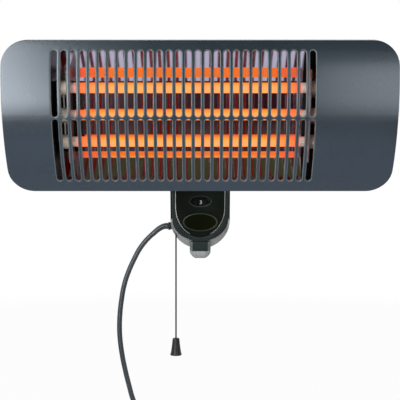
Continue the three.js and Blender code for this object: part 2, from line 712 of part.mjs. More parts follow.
// The pull cord's line is plumb at rest. In the row frame it is one x and one y.
const tiltAngle = THREE.MathUtils.degToRad(REST_TILT);
const rowFrame = (x, y, z) => new THREE.Vector3(x, y, z)
  .applyAxisAngle(new THREE.Vector3(1, 0, 0), tiltAngle)
  .add(tilting.position);
const tiltingFrame = (point) => point.clone().sub(tilting.position)
  .applyAxisAngle(new THREE.Vector3(1, 0, 0), -tiltAngle);
const springRight = BRACKET_RIGHT - BRACKET_THICKNESS - GAP - RATCHET_THICKNESS - GAP;
const pulleyRight = springRight - SPRING_THICKNESS - GAP;
const pullX = pulleyRight - PULLEY_THICKNESS / 2;
const shaftPoint = rowFrame(pullX, shaftY, WINDOW_RISE);
const pullY = shaftPoint.y + CORD_WRAP;

const pullLine = (radius, from, to) => solid(rod('z', radius, from, to, pullX, pullY, COARSE));
const toTilting = (manifold) => manifold
  .translate(-tilting.position.x, -tilting.position.y, -tilting.position.z).rotate([-REST_TILT, 0, 0]);

/** The height in the row frame at which the pull cord's line leaves the rear shell. */
function findExit() {
  const hair = GAP / 20;
  const inside = toTilting(pullLine(hair, -BOX_HALF, shaftPoint.z)).intersect(rearShellBlank(0));
  return inside.rotate([REST_TILT, 0, 0]).boundingBox().min[2] + tilting.position.z;
}
const exitZ = findExit();
// Where the cord bends as the heater tilts.
const hangPoint = new THREE.Vector3(pullX, pullY, exitZ - EXIT_BELOW);

/** The knuckle under the box: a chamfered tab at the front over a rounded end about the tilt axis. */
function knuckleBlank() {
  const c = KNUCKLE_CHAMFER;
  const w = KNUCKLE_HALF;
  const plan = (back) => [
    [w, back], [w, boxFront + c], [w - c, boxFront], [-w + c, boxFront], [-w, boxFront + c], [-w, back],
  ];
  const frontTop = FRONT_BOTTOM_RISE - FRONT_DROP - GAP;
  const tab = solid(prism('z', plan(rearShellFront), 0, frontTop));
  const stem = solid(prism('z', plan(KNUCKLE_RADIUS), 0, KNUCKLE_TOP))
    .subtract(solid(block(-w, w, boxFront, rearShellFront, frontTop, KNUCKLE_TOP)));
  const edge = [0, 30, 60, 90].map((turn) => {
    const angle = THREE.MathUtils.degToRad(turn);
    const inward = KNUCKLE_EDGE * (1 - Math.sin(angle));
    return [KNUCKLE_RADIUS - inward, w - KNUCKLE_EDGE * (1 - Math.cos(angle))];
  });
  const mirrored = edge.map(([radius, x]) => [radius, -x]);
  const barrel = solid(turned('x', [[0, -w], ...mirrored, ...edge.reverse(), [0, w]]));
  return tab.add(stem).add(barrel);
}

function makeRearShell() {
  const channelHalf = slotHalf + CHANNEL_WALL;
  const channel = solid(block(-channelHalf, channelHalf, rearShellFront, boxBack, -KNUCKLE_TOP, KNUCKLE_TOP))
    .intersect(rearShellBlank(0));
  let shell = rearShellBlank(0).subtract(rearShellBlank(BOX_WALL)).add(channel).add(knuckleBlank());
  const eye = EYE_RADIUS + GAP;
  const below = -KNUCKLE_RADIUS - PAST;
  const slot = solid(rod('x', eye, -slotHalf, slotHalf, 0, 0, ROUND * 2))
    .add(solid(block(-slotHalf, slotHalf, 0, boxBack + PAST, below, eye)))
    .add(solid(block(-slotHalf, slotHalf, -eye, 0, below, 0)));
  const boltHole = solid(rod('x', BOLT_DIAMETER / 2 + GAP, -KNUCKLE_HALF - PAST, KNUCKLE_HALF + PAST));
  shell = shell.subtract(slot).subtract(boltHole);
  const topHole = (radius, x, y) => solid(
    rod('z', radius, boxTop - BOX_WALL - PAST, boxTop + PAST, x, y, COARSE),
  );
  for (const side of [-1, 1]) {
    const depths = spanOf(side * (KNUCKLE_HALF - RECESS_DEPTH), side * BOX_HALF);
    const recess = rod('x', RECESS_DIAMETER / 2, ...depths);
    const hole = topHole(SMALL_HOLE, side * BOX_SCREW_ASIDE, boxFront + BOX_SCREW_BACK);
    shell = shell.subtract(solid(recess)).subtract(hole);
  }
  const glandEnd = -BOX_HALF + GLAND_REACH + PAST;
  const gland = rod('x', GLAND_NECK + GAP, -BOX_HALF - PAST, glandEnd, glandY, GLAND_RISE);
  const cordHole = pullLine(GROMMET_RADIUS + GAP, exitZ - GROMMET_BELOW, exitZ + GROMMET_ABOVE);
  shell = shell.subtract(topHole(HARNESS_HOLE / 2, harnessX, harnessY))
    .subtract(solid(gland))
    .subtract(toTilting(cordHole));
  piece(tilting, 'rear_shell', shell, 'grey');
}

function makeFrontShell() {
  const floor = boxFront + FASCIA_RECESS;
  const outline = uOutline(FRONT_HALF, FRONT_BOTTOM_RISE, FRONT_DROP, boxTop);
  const fasciaTop = boxTop - FASCIA_TOP_MARGIN;
  const recess = uOutline(FASCIA_HALF + GAP, FASCIA_BOTTOM_RISE, FASCIA_DROP + GAP, fasciaTop + GAP);
  const window = ellipse(WINDOW_WIDTH / 2 - WINDOW_LEDGE, WINDOW_HEIGHT / 2 - WINDOW_LEDGE, 0, WINDOW_RISE);
  const shell = solid(prism('y', outline, boxFront, frontShellBack))
    .subtract(solid(prism('y', recess, boxFront - PAST, floor)))
    .subtract(solid(prism('y', window, boxFront, frontShellBack + PAST)));
  piece(tilting, 'front_shell', shell, 'black');
  const back = floor - GAP;
  const front = back - FASCIA_THICKNESS;
  const plate = uOutline(FASCIA_HALF, FASCIA_BOTTOM_RISE, FASCIA_DROP, fasciaTop);
  const opening = ellipse(WINDOW_WIDTH / 2 + GAP, WINDOW_HEIGHT / 2 + GAP, 0, WINDOW_RISE);
  const fascia = solid(prism('y', plate, front, back))
    .subtract(solid(prism('y', opening, front - PAST, back + PAST)));
  piece(tilting, 'fascia_plate', fascia, 'black');
  const lens = ellipse(WINDOW_WIDTH / 2, WINDOW_HEIGHT / 2, 0, WINDOW_RISE);
  piece(tilting, 'window_lens', prism('y', lens, back - LENS_THICKNESS, back), 'lens');
  const badge = ellipse(BADGE_WIDTH / 2, BADGE_HEIGHT / 2, 0, BADGE_RISE, ROUND * 2);
  piece(tilting, 'badge_plate', prism('y', badge, front - GAP - BADGE_THICKNESS, front - GAP), 'badge');
}

function makeBoxScrews() {
  ['left', 'right'].forEach((name, i) => {
    const seat = boxTop - BOX_WALL - GAP;
    const length = BOX_WALL + GAP * 2 + HOUSING_SHEET + SCREW_GRIP;
    const place = [(2 * i - 1) * BOX_SCREW_ASIDE, boxFront + BOX_SCREW_BACK];
    const shape = screw('z', seat, -1, length, place);
    piece(tilting, `box_screw_${name}`, shape, 'steel');
  });
}

/** The black bush where the mains cord comes in, and the clamp behind it. */
function makeGland() {
  const face = -BOX_HALF - GAP;
  const inner = -BOX_HALF + GLAND_REACH;
  const gland = solid(rod('x', GLAND_RADIUS, face - GLAND_OUT, face, glandY, GLAND_RISE))
    .add(solid(rod('x', GLAND_NECK, face - GLAND_OUT / 2, inner, glandY, GLAND_RISE)));
  piece(tilting, 'cable_gland', gland, 'black');
  const back = boxBack - BOX_WALL - GAP;
  const clamp = solid(block(
    inner + GAP, inner + GAP + CLAMP_WIDTH, back - CLAMP_DEPTH, back,
    GLAND_RISE - CLAMP_HEIGHT / 2, GLAND_RISE + CLAMP_HEIGHT / 2,
  )).intersect(rearShellBlank(BOX_WALL + GAP));
  piece(tilting, 'cord_clamp', clamp, 'black');
}

makeRearShell();
makeFrontShell();
makeBoxScrews();
makeGland();

// ---------------------------------------------------------------- pull switch
function makeSwitch() {
  const boreRadius = SHAFT_DIAMETER / 2 + GAP;
  const bore = (from, to) => solid(rod('x', boreRadius, from - PAST, to + PAST, shaftY, WINDOW_RISE));
  const back = boxBack - BOX_WALL - GAP;
  const right = SWITCH_LEFT + SWITCH_WIDTH;
  const low = WINDOW_RISE - SWITCH_HEIGHT / 2;
  const body = solid(block(SWITCH_LEFT, right, shaftY - SWITCH_FORWARD, back, low, switchTop))
    .subtract(bore(SWITCH_LEFT, right))
    .intersect(rearShellBlank(BOX_WALL + GAP));
  piece(tilting, 'switch_block', body, 'black');
  const left = BRACKET_RIGHT - BRACKET_THICKNESS;
  const bracket = solid(block(
    left, BRACKET_RIGHT, shaftY - BRACKET_FORWARD, back,
    WINDOW_RISE - BRACKET_HEIGHT / 2, WINDOW_RISE + BRACKET_HEIGHT / 2,
  )).subtract(bore(left, BRACKET_RIGHT));
  piece(tilting, 'shaft_bracket', bracket, 'black');
}

/** A ring or wheel on the shaft, from its profile of [radius, x] pairs. */
function onShaft(name, profile, material, sides = ROUND) {
  piece(tilting, name, turned('x', profile, sides).translate(0, shaftY, WINDOW_RISE), material);
}

function makeSelector() {
  const bore = SHAFT_DIAMETER / 2 + GAP;
  onShaft('selector_shaft', [
    [0, -SHAFT_LEFT], [SHAFT_DIAMETER / 2, -SHAFT_LEFT], [SHAFT_DIAMETER / 2, SHAFT_RIGHT], [0, SHAFT_RIGHT],
  ], 'steel');
  const half = DRUM_LENGTH / 2;
  const web = DRUM_WEB / 2;
  const rim = DRUM_RADIUS - DRUM_RIM;
  onShaft('indicator_drum', [
    [bore, -half], [DRUM_HUB, -half], [DRUM_HUB, -web], [rim, -web], [rim, -half], [DRUM_RADIUS, -half],
    [DRUM_RADIUS, half], [rim, half], [rim, web], [DRUM_HUB, web], [DRUM_HUB, half], [bore, half],
    [bore, -half],
  ], 'black');
  const right = BRACKET_RIGHT - BRACKET_THICKNESS - GAP;
  const outline = Array.from({ length: RATCHET_TEETH }, (_, i) => [
    [i, RATCHET_RADIUS],
    [i + RATCHET_RISE, RATCHET_RADIUS - RATCHET_TOOTH],
  ]).flat().map(([step, radius]) => {
    const turn = (2 * Math.PI * step) / RATCHET_TEETH;
    return [shaftY + radius * Math.cos(turn), WINDOW_RISE + radius * Math.sin(turn)];
  });
  const wheel = solid(prism('x', outline, right - RATCHET_THICKNESS, right))
    .subtract(solid(rod('x', bore, right - RATCHET_THICKNESS - PAST, right + PAST, shaftY, WINDOW_RISE)));
  piece(tilting, 'ratchet_wheel', wheel, 'steel');
  onShaft('return_spring', [
    [bore, springRight - SPRING_THICKNESS], [SPRING_RADIUS, springRight - SPRING_THICKNESS],
    [SPRING_RADIUS, springRight], [bore, springRight], [bore, springRight - SPRING_THICKNESS],
  ], 'steel');
}

function makePulley() {
  const bore = SHAFT_DIAMETER / 2 + GAP;
  const left = pulleyRight - PULLEY_THICKNESS;
  const groove = CORD_WRAP - PULL_CORD_DIAMETER / 2 - GAP;
  const side = PULLEY_GROOVE / 2;
  onShaft('pull_pulley', [
    [bore, left], [PULLEY_RADIUS, left], [PULLEY_RADIUS, pullX - side], [groove, pullX - side],
    [groove, pullX + side], [PULLEY_RADIUS, pullX + side], [PULLEY_RADIUS, pulleyRight], [bore, pulleyRight],
    [bore, left],
  ], 'white', ROUND * 2);
}

/** The cord drops from the pulley, through the grommet in the box's chin, to the toggle. */
function makePullCord() {
  const radius = PULL_CORD_DIAMETER / 2;
  const low = exitZ - GROMMET_BELOW;
  const high = exitZ + GROMMET_ABOVE;
  const sleeve = toTilting(pullLine(GROMMET_RADIUS, low, high)
    .subtract(pullLine(GROMMET_BORE / 2, low - PAST, high + PAST)))
    .intersect(rearShellBlank(0));
  piece(tilting, 'cord_grommet', sleeve, 'black');
  piece(heater, 'draw_cord', pullLine(radius, hangPoint.z + radius + GAP, shaftPoint.z), 'cord');
  const drop = PULL_DROP - EXIT_BELOW - GAP;
  const dome = [30, 60].map((turn) => {
    const angle = THREE.MathUtils.degToRad(turn);
    return [radius * Math.cos(angle), radius * Math.sin(angle)];
  });
  const cord = turned('z', [[0, -drop], [radius, -drop], [radius, 0], ...dome, [0, radius]], 8);
  piece(heater, 'pull_cord', cord.translate(...hangPoint.toArray()), 'cord');
  const top = hangPoint.z - drop - GAP;
  const toggle = turned('z', [
    [0, top - TOGGLE_HEIGHT], [TOGGLE_BOTTOM_RADIUS, top - TOGGLE_HEIGHT],
    [TOGGLE_TOP_RADIUS, top - TOGGLE_EDGE], [TOGGLE_TOP_RADIUS - TOGGLE_EDGE, top], [0, top],
  ]);
  piece(heater, 'cord_toggle', toggle.translate(pullX, pullY, 0), 'black');
}

makeSwitch();
makeSelector();
makePulley();
makePullCord();

// ---------------------------------------------------------------- tilt joint and wall bracket
function makeTiltJoint() {
  const seat = KNUCKLE_HALF - RECESS_DEPTH + GAP;
  const shank = rod('x', BOLT_DIAMETER / 2, -seat, seat + NUT_THICKNESS);
  const headRod = rod('x', BOLT_HEAD_DIAMETER / 2, -seat - BOLT_HEAD, -seat);
  piece(tilting, 'pivot_bolt', solid(shank).add(solid(headRod)), 'steel');
  const nut = rod('x', NUT_ACROSS / 2 / Math.cos(Math.PI / 6), seat, seat + NUT_THICKNESS, 0, 0, 6);
  const thread = rod('x', BOLT_DIAMETER / 2 + GAP, seat - PAST, seat + NUT_THICKNESS + PAST);
  piece(tilting, 'pivot_nut', solid(nut).subtract(solid(thread)), 'steel');
  ['left', 'right'].forEach((name, i) => {
    const from = EYE_HALF + GAP;
    const span = i ? [from, from + WASHER_THICKNESS] : [-from - WASHER_THICKNESS, -from];
    const washer = solid(rod('x', WASHER_RADIUS, ...span))
      .subtract(solid(rod('x', BOLT_DIAMETER / 2 + GAP, span[0] - PAST, span[1] + PAST)));
    piece(tilting, `friction_washer_${name}`, washer, 'black');
  });
}

const flangeBack = -PLATE_THICKNESS - GAP;
const flangeFront = flangeBack - FLANGE_THICKNESS;

function makeBracket() {
  const outline = roundedBox(
    -PLATE_WIDTH / 2, PLATE_WIDTH / 2,
    PLATE_RISE - PLATE_HEIGHT / 2, PLATE_RISE + PLATE_HEIGHT / 2, PLATE_CORNER,
  );
  let plate = solid(prism('y', outline, -PLATE_THICKNESS, 0));
  for (const side of [-1, 1]) {
    for (const level of [-1, 1]) {
      const place = [(side * PLATE_HOLES_WIDE) / 2, PLATE_RISE + (level * PLATE_HOLES_TALL) / 2];
      plate = plate.subtract(solid(rod('y', PLATE_HOLE / 2, -PLATE_THICKNESS - PAST, PAST, ...place)));
    }
  }
  const low = -ARM_HEIGHT / 2;
  const high = ARM_HEIGHT / 2;
  const flangeTop = PLATE_RISE + FLANGE_TOP;
  const flangeHalf = FLANGE_WIDTH / 2;
  const profile = [
    [-PIVOT_FORWARD, low], [flangeBack, low], [flangeBack, high + ARM_GUSSET],
    [flangeFront, high + ARM_GUSSET], [flangeFront - ARM_GUSSET_LENGTH, high], [-PIVOT_FORWARD, high],
  ];
  const hole = rod('x', BOLT_DIAMETER / 2 + GAP, -EYE_HALF - PAST, EYE_HALF + PAST, -PIVOT_FORWARD, 0);
  let arm = solid(rod('x', EYE_RADIUS, -EYE_HALF, EYE_HALF, -PIVOT_FORWARD, 0, ROUND * 2))
    .add(solid(prism('x', profile, -EYE_HALF, EYE_HALF)))
    .add(solid(block(-flangeHalf, flangeHalf, flangeFront, flangeBack, low, flangeTop)))
    .subtract(solid(hole));
  for (const level of [-1, 1]) {
    const rise = PLATE_RISE + (level * ARM_SCREWS_APART) / 2;
    const screwHole = solid(rod('y', ARM_SCREW.shank / 2 + GAP, flangeFront - PAST, PAST, 0, rise, COARSE));
    plate = plate.subtract(screwHole);
    arm = arm.subtract(screwHole);
    const length = FLANGE_THICKNESS + PLATE_THICKNESS + GAP;
    const shape = screw('y', flangeFront - GAP, -1, length, [0, rise], ARM_SCREW);
    piece(heater, level < 0 ? 'arm_screw_lower' : 'arm_screw_upper', shape, 'steel');
  }
  piece(heater, 'wall_plate', plate, 'grey');
  piece(heater, 'bracket_arm', arm, 'grey');
}

makeTiltJoint();
makeBracket();

// ---------------------------------------------------------------- mains cord, coil, tie and plug
const glandFace = rowFrame(-BOX_HALF - GAP - GLAND_OUT - GAP, glandY, GLAND_RISE);
// The cord's way down from the gland, as [x, z], to where it turns into the coil.
const CORD_WAY = [
  [-53, 26.8], [-65, 17.6], [-81.2, 0.6], [-90, -16.9], [-97.4, -33.1], [-102.5, -50.7], [-106.2, -70.9],
  [-108.3, -90], [-108.9, -106], [-108.4, -121], [-105.4, -145], [-101.2, -166], [-96.3, -186],
  [-90.7, -205.8], [-83.5, -221], [-74, -233],
];
const COIL_TOP = [-58, -241]; // where the cord meets the coil's top
const coilCentre = [COIL_TOP[0], COIL_TOP[1] - LOOP_RADIUS];

/** A tube of LOOP_SIDES sides through points that all lie near one upright plane facing Y. */
function wound(points, diameter) {
  const places = [];
  const faces = [];
  points.forEach((point, i) => {
    const before = points[Math.max(i - 1, 0)];
    const after = points[Math.min(i + 1, points.length - 1)];
    const along = after.clone().sub(before).normalize();
    const side = new THREE.Vector3(0, 1, 0).cross(along).normalize();
    const depth = along.clone().cross(side);
    for (let k = 0; k < LOOP_SIDES; k += 1) {
      const turn = (2 * Math.PI * k) / LOOP_SIDES;
      const place = point.clone()
        .addScaledVector(side, (diameter / 2) * Math.cos(turn))
        .addScaledVector(depth, (diameter / 2) * Math.sin(turn));
      places.push(...place.toArray());
    }
  });
  for (let ring = 0; ring + 1 < points.length; ring += 1) {
    for (let k = 0; k < LOOP_SIDES; k += 1) {
      const a = ring * LOOP_SIDES + k;
      const b = ring * LOOP_SIDES + ((k + 1) % LOOP_SIDES);
      faces.push(a, b, b + LOOP_SIDES, a, b + LOOP_SIDES, a + LOOP_SIDES);
    }
  }
  const last = (points.length - 1) * LOOP_SIDES;
  for (let k = 1; k + 1 < LOOP_SIDES; k += 1) {
    faces.push(0, k + 1, k, last, last + k, last + k + 1);
  }
  const geometry = new THREE.BufferGeometry();
  geometry.setAttribute('position', new THREE.Float32BufferAttribute(places, 3));
  geometry.setIndex(faces);
  return geometry;
}

/** The coil's radius and depth after `turns` loops: in, over to the front layer, and out again. */
function loopAt(turns) {
  const inner = LOOP_RADIUS - LOOP_PITCH * LOOPS_IN;
  if (turns <= LOOPS_IN) return { radius: LOOP_RADIUS - LOOP_PITCH * turns, depth: LOOP_PITCH / 2 };
  const over = (turns - LOOPS_IN) / LOOPS_CLIMB;
  if (over >= 1) return { radius: inner + LOOP_PITCH * (over - 1) * LOOPS_CLIMB, depth: -LOOP_PITCH / 2 };
  const dip = (LOOP_PITCH * LOOPS_CLIMB * Math.sin(Math.PI * over)) / Math.PI;
  return { radius: inner - dip, depth: (LOOP_PITCH / 2) * Math.cos(Math.PI * over) };
}

function coilPath() {
  const [x, z] = coilCentre;
  const back = glandFace.y + LOOP_PITCH / 2;
  const turns = LOOPS_IN + LOOPS_CLIMB + LOOPS_OUT;
  const path = [new THREE.Vector3(COIL_TOP[0] - CORD_DIAMETER, back, COIL_TOP[1])]; // a straight start
  const steps = Math.round(turns * LOOP_STEPS);
  for (let i = 0; i <= steps; i += 1) {
    const turn = (turns * i) / steps;
    const { radius, depth } = loopAt(turn);
    const angle = 2 * Math.PI * turn;
    const place = [x + radius * Math.sin(angle), glandFace.y + depth, z + radius * Math.cos(angle)];
    path.push(new THREE.Vector3(...place));
  }
  const end = path[path.length - 1];
  for (let i = 1; i <= TAIL_STEPS; i += 1) {
    path.push(new THREE.Vector3(end.x, end.y, end.z - (TAIL_LENGTH * i) / TAIL_STEPS));
  }
  return path;
}

/** The least gap between stretches of the coil that are more than a quarter of a loop apart. */
function leastGap(path) {
  let least = Infinity;
  for (let i = 0; i < path.length; i += 1) {
    for (let j = i + Math.ceil(LOOP_STEPS / 4); j + 1 < path.length; j += 1) {
      const near = new THREE.Vector3();
      new THREE.Line3(path[j], path[j + 1]).closestPointToPoint(path[i], true, near);
      least = Math.min(least, near.distanceTo(path[i]));
    }
  }
  return least - CORD_DIAMETER;
}

function makeMainsCord() {
  const path = coilPath();
  const start = path[0];
  const straight = CORD_DIAMETER;
  const way = CORD_WAY.map(([x, z], i) => {
    const share = i / (CORD_WAY.length - 1);
    return [x, glandFace.y + (LOOP_PITCH / 2) * share ** 2, z];
  });
  const curve = through(
    glandFace.toArray(),
    [glandFace.x - straight / 2, glandFace.y, glandFace.z],
    ...way,
    [start.x - GAP - straight / 2, start.y, start.z],
    [start.x - GAP, start.y, start.z],
  );
  piece(heater, 'mains_cord', tube(curve, CORD_DIAMETER, CORD_STEPS, CORD_SIDES), 'cord');
  piece(heater, 'cord_coil', wound(path, CORD_DIAMETER), 'cord');
  console.log(`least gap in the cord's coil: ${leastGap(path).toFixed(2)} mm`);
  console.log(`mains cord: ${(curve.getLength() + pathLength(path)).toFixed(0)} mm long`);
  return path[path.length - 1];
}

function pathLength(path) {
  return path.slice(1).reduce((sum, point, i) => sum + point.distanceTo(path[i]), 0);
}

/** A flat tie round all the strands near the coil's top. */
function makeTie() {
  const turn = TIE_ANGLE / 360;
  const radii = Array.from({ length: 5 }, (_, i) => loopAt(turn + i).radius);
  const reach = CORD_DIAMETER / 2 + TIE_SLACK;
  const inner = Math.min(...radii) - reach;
  const outer = Math.max(...radii) + reach;
  const deep = LOOP_PITCH / 2 + reach;
  const ring = (more, half) => solid(
    block(-half, half, -deep - more, deep + more, inner - more, outer + more),
  );
  const tie = ring(TIE_THICKNESS, TIE_WIDTH / 2).subtract(ring(0, TIE_WIDTH / 2 + PAST))
    .rotate([0, TIE_ANGLE, 0])
    .translate(coilCentre[0], glandFace.y, coilCentre[1]);
  piece(heater, 'cord_tie', tie, 'black');
}

/** A round two-pin plug that hangs from the coil's tail. */
function makePlug(end) {
  const neck = -PLUG_NECK;
  const bottom = neck - PLUG_BODY;
  let plug = solid(turned('z', [
    [0, bottom], [PLUG_RADIUS - PLUG_EDGE, bottom], [PLUG_RADIUS, bottom + PLUG_EDGE],
    [PLUG_RADIUS, neck - PLUG_SHOULDER], [PLUG_WAIST, neck - PLUG_COLLAR],
    [PLUG_NECK_RADIUS, neck + PLUG_COLLAR], [PLUG_NECK_RADIUS, 0], [0, 0],
  ]));
  for (const x of [-PINS_APART / 2, PINS_APART / 2]) {
    plug = plug.add(solid(rod('z', PIN_RADIUS, bottom - PIN_LENGTH, bottom + PAST, x, 0, COARSE)));
  }
  piece(heater, 'plug', plug.translate(end.x, end.y, end.z - GAP), 'black');
}

const cordEnd = makeMainsCord();
makeTie();
makePlug(cordEnd);

const part = new THREE.Group();
part.add(heater);

export default part;
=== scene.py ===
"""An electric bar heater on its wall bracket, dressed for a studio photograph (Blender 4.5)."""
import math

import bmesh
import bpy
from mathutils import Matrix, Quaternion, Vector


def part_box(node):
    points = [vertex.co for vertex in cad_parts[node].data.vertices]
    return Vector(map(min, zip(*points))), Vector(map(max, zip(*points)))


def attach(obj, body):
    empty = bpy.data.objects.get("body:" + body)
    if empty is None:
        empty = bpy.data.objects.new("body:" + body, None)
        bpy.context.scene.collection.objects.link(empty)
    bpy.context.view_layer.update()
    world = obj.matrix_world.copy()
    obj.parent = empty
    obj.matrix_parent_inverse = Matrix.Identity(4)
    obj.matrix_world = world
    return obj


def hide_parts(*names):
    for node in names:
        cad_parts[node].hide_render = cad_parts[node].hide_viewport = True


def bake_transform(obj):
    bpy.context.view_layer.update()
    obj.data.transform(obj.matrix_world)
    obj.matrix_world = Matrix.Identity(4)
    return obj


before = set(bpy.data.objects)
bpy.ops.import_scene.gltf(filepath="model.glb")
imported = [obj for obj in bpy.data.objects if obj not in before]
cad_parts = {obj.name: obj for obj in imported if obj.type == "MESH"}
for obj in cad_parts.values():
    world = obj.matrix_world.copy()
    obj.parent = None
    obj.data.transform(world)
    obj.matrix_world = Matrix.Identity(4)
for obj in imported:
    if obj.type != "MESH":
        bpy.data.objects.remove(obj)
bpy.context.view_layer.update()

# ---------------------------------------------------------------- studio
# A pale floor that fades out to a white surround, a tall soft panel that leans in front at the left
# and a weaker one at the right. The camera is level with the head, in front of it.


class Shade:
    """A shader socket. Sums and products of sockets and numbers add the Math nodes they need."""

    def __init__(self, tree, socket=None):
        self.tree = tree
        self.socket = socket

    def node(self, kind, settings=None, sockets=None, output=0):
        made = self.tree.nodes.new(kind)
        for name, value in (settings or {}).items():
            if name != "stops":
                setattr(made, name, value)
                continue
            ends = made.color_ramp.elements
            for end, (place, colour) in ((ends[0], value[0]), (ends[1], value[-1])):
                end.position, end.color = place, colour
            for place, colour in value[1:-1]:
                ends.new(place).color = colour
        for name, value in (sockets or {}).items():
            if isinstance(value, Shade):
                self.tree.links.new(value.socket, made.inputs[name])
            else:
                made.inputs[name].default_value = value
        return Shade(self.tree, made.outputs[output])

    def math(self, operation, *others):
        """This socket with others, or alone, through a Math node."""
        terms = dict(enumerate((self, *others)))
        return self.node("ShaderNodeMath", {"operation": operation}, terms)

    def __add__(self, other):
        return self.math("ADD", other)

    __radd__ = __add__

    def __mul__(self, other):
        return self.math("MULTIPLY", other)

    def ramp(self, low, high):
        """A smooth rise from 0 to 1 while this socket goes from low to high."""
        return self.node(
            "ShaderNodeMapRange", {"interpolation_type": "SMOOTHSTEP"},
            {"Value": self, "From Min": low, "From Max": high},
        )

    def mixed(self, first, second):
        """A colour between two, by this socket."""
        return self.node(
            "ShaderNodeMix", {"data_type": "RGBA"}, {0: self, 6: first, 7: second}, output=2
        )

    def dot(self, direction):
        return self.node(
            "ShaderNodeVectorMath", {"operation": "DOT_PRODUCT"}, {0: self, 1: direction}, output=1
        )


def tint(red, green, blue):
    """A colour as it looks on a screen, from 0 to 255, for a shader's socket."""
    parts = [value / 255 for value in (red, green, blue)]
    linear = (p / 12.92 if p <= 0.04045 else ((p + 0.055) / 1.055) ** 2.4 for p in parts)
    return (*linear, 1.0)


def ray(shade, kind):
    """Whether it is a ray of this kind, such as Camera, that asks for the colour."""
    return shade.node("ShaderNodeLightPath", output=f"Is {kind} Ray")


scene = bpy.context.scene
scene.view_settings.view_transform = "Standard"

WHITE = (1, 1, 1, 1)
STUDIO_FILL = (0.5, 0.5, 0.5, 1)  # even light from all round
DIM_LEFT, DIM_RIGHT = (0.105, 0.052, 0.045, 1), (0.036, 0.006, 0.008, 1)  # the unlit studio ahead
DIM_ABOVE = (0.058, 0.056, 0.019, 1)
world = bpy.data.worlds.new("studio")
world.use_nodes = True
scene.world = world
rays = Shade(world.node_tree)
way = rays.node("ShaderNodeTexCoord", output="Generated")
ahead = way.dot((0, -1, 0)).ramp(0.25, 0.6)
rightward = way.dot((1, 0, 0)).ramp(-0.3, 0.12)
upward = way.dot((0, 0, 1)).ramp(0.05, 0.4)
mirrored = ahead.mixed(WHITE, upward.mixed(rightward.mixed(DIM_LEFT, DIM_RIGHT), DIM_ABOVE))
direct = (ray(rays, "Camera") + ray(rays, "Transmission")).math("MINIMUM", 1.0)
seen = direct.mixed(ray(rays, "Glossy").mixed(STUDIO_FILL, mirrored), WHITE)
world.node_tree.links.new(seen.socket, world.node_tree.nodes["Background"].inputs["Color"])

FLOOR_LEVEL, FLOOR_REACH = -0.4745, 3.1
floor_bm = bmesh.new()
bmesh.ops.create_circle(floor_bm, cap_ends=True, segments=96, radius=FLOOR_REACH)
bmesh.ops.translate(floor_bm, verts=floor_bm.verts, vec=(0, 0, FLOOR_LEVEL))
floor_mesh = bpy.data.meshes.new("studio_floor")
floor_bm.to_mesh(floor_mesh)
floor_bm.free()
studio_floor = bpy.data.objects.new("studio_floor", floor_mesh)
scene.collection.objects.link(studio_floor)
floor_paint = bpy.data.materials.new("pale_floor")
floor_paint.use_nodes = True
tree = floor_paint.node_tree
tree.nodes.remove(tree.nodes["Principled BSDF"])
ground = Shade(tree)
place = ground.node("ShaderNodeTexCoord", output="Object")
reach = place.node("ShaderNodeVectorMath", {"operation": "LENGTH"}, {0: place}, output=1)
pale = ground.node("ShaderNodeBsdfDiffuse", sockets={"Color": (0.9, 0.9, 0.91, 1)})
lit = ground.node("ShaderNodeEmission", sockets={"Color": WHITE, "Strength": 1.0})
clear = ground.node("ShaderNodeBsdfTransparent")
near = ground.node("ShaderNodeEmission", sockets={"Color": WHITE, "Strength": 0.55})
far = ground.node("ShaderNodeEmission", sockets={"Color": (0.12, 0.078, 0.055, 1), "Strength": 1.0})


def either(factor, first, second):
    return ground.node("ShaderNodeMixShader", sockets={0: factor, 1: first, 2: second})


in_view = either((ray(ground, "Camera") + ray(ground, "Transmission")) * 0.95, pale, lit)
covered = either(ray(ground, "Glossy"), in_view, either(reach.ramp(1.0, 1.5), near, far))
faded = either(reach.ramp(2.35, 3.05), covered, clear)
tree.links.new(faded.socket, tree.nodes["Material Output"].inputs["Surface"])
floor_mesh.materials.append(floor_paint)


def soft_panel(name, centre, aim, size, radiance, colour, lean=0.0):
    """A rectangular studio light of an even brightness, that leans sideways by some degrees."""
    lamp = bpy.data.lights.new(name, "AREA")
    lamp.shape = "RECTANGLE"
    lamp.size, lamp.size_y = size
    lamp.energy = radiance * math.pi * size[0] * size[1]
    lamp.color = colour
    stand = bpy.data.objects.new(name, lamp)
    stand.location = centre
    facing = (Vector(aim) - Vector(centre)).to_track_quat("-Z", "Y")
    stand.rotation_euler = (facing @ Quaternion((0, 0, 1), math.radians(lean))).to_euler()
    scene.collection.objects.link(stand)


LAMP_WHITE = (1, 0.95, 0.87)
soft_panel("left_panel", (-0.8, -1.5, 0.34), (-0.1, -0.1, 0.12), (0.6, 1.52), 8.6, LAMP_WHITE, 9)
soft_panel("right_panel", (0.7, -1.5, 0.12), (0.1, -0.1, 0.12), (0.7, 0.94), 2.9, LAMP_WHITE)

camera = bpy.data.cameras.new("camera")
camera.lens = 67.5
camera.sensor_width = 36
camera.clip_start = 0.05
viewpoint = bpy.data.objects.new("camera", camera)
viewpoint.location = (-0.00024, -1.060, 0.008)
viewpoint.rotation_euler = (math.pi / 2, 0, 0)
scene.collection.objects.link(viewpoint)
scene.camera = viewpoint

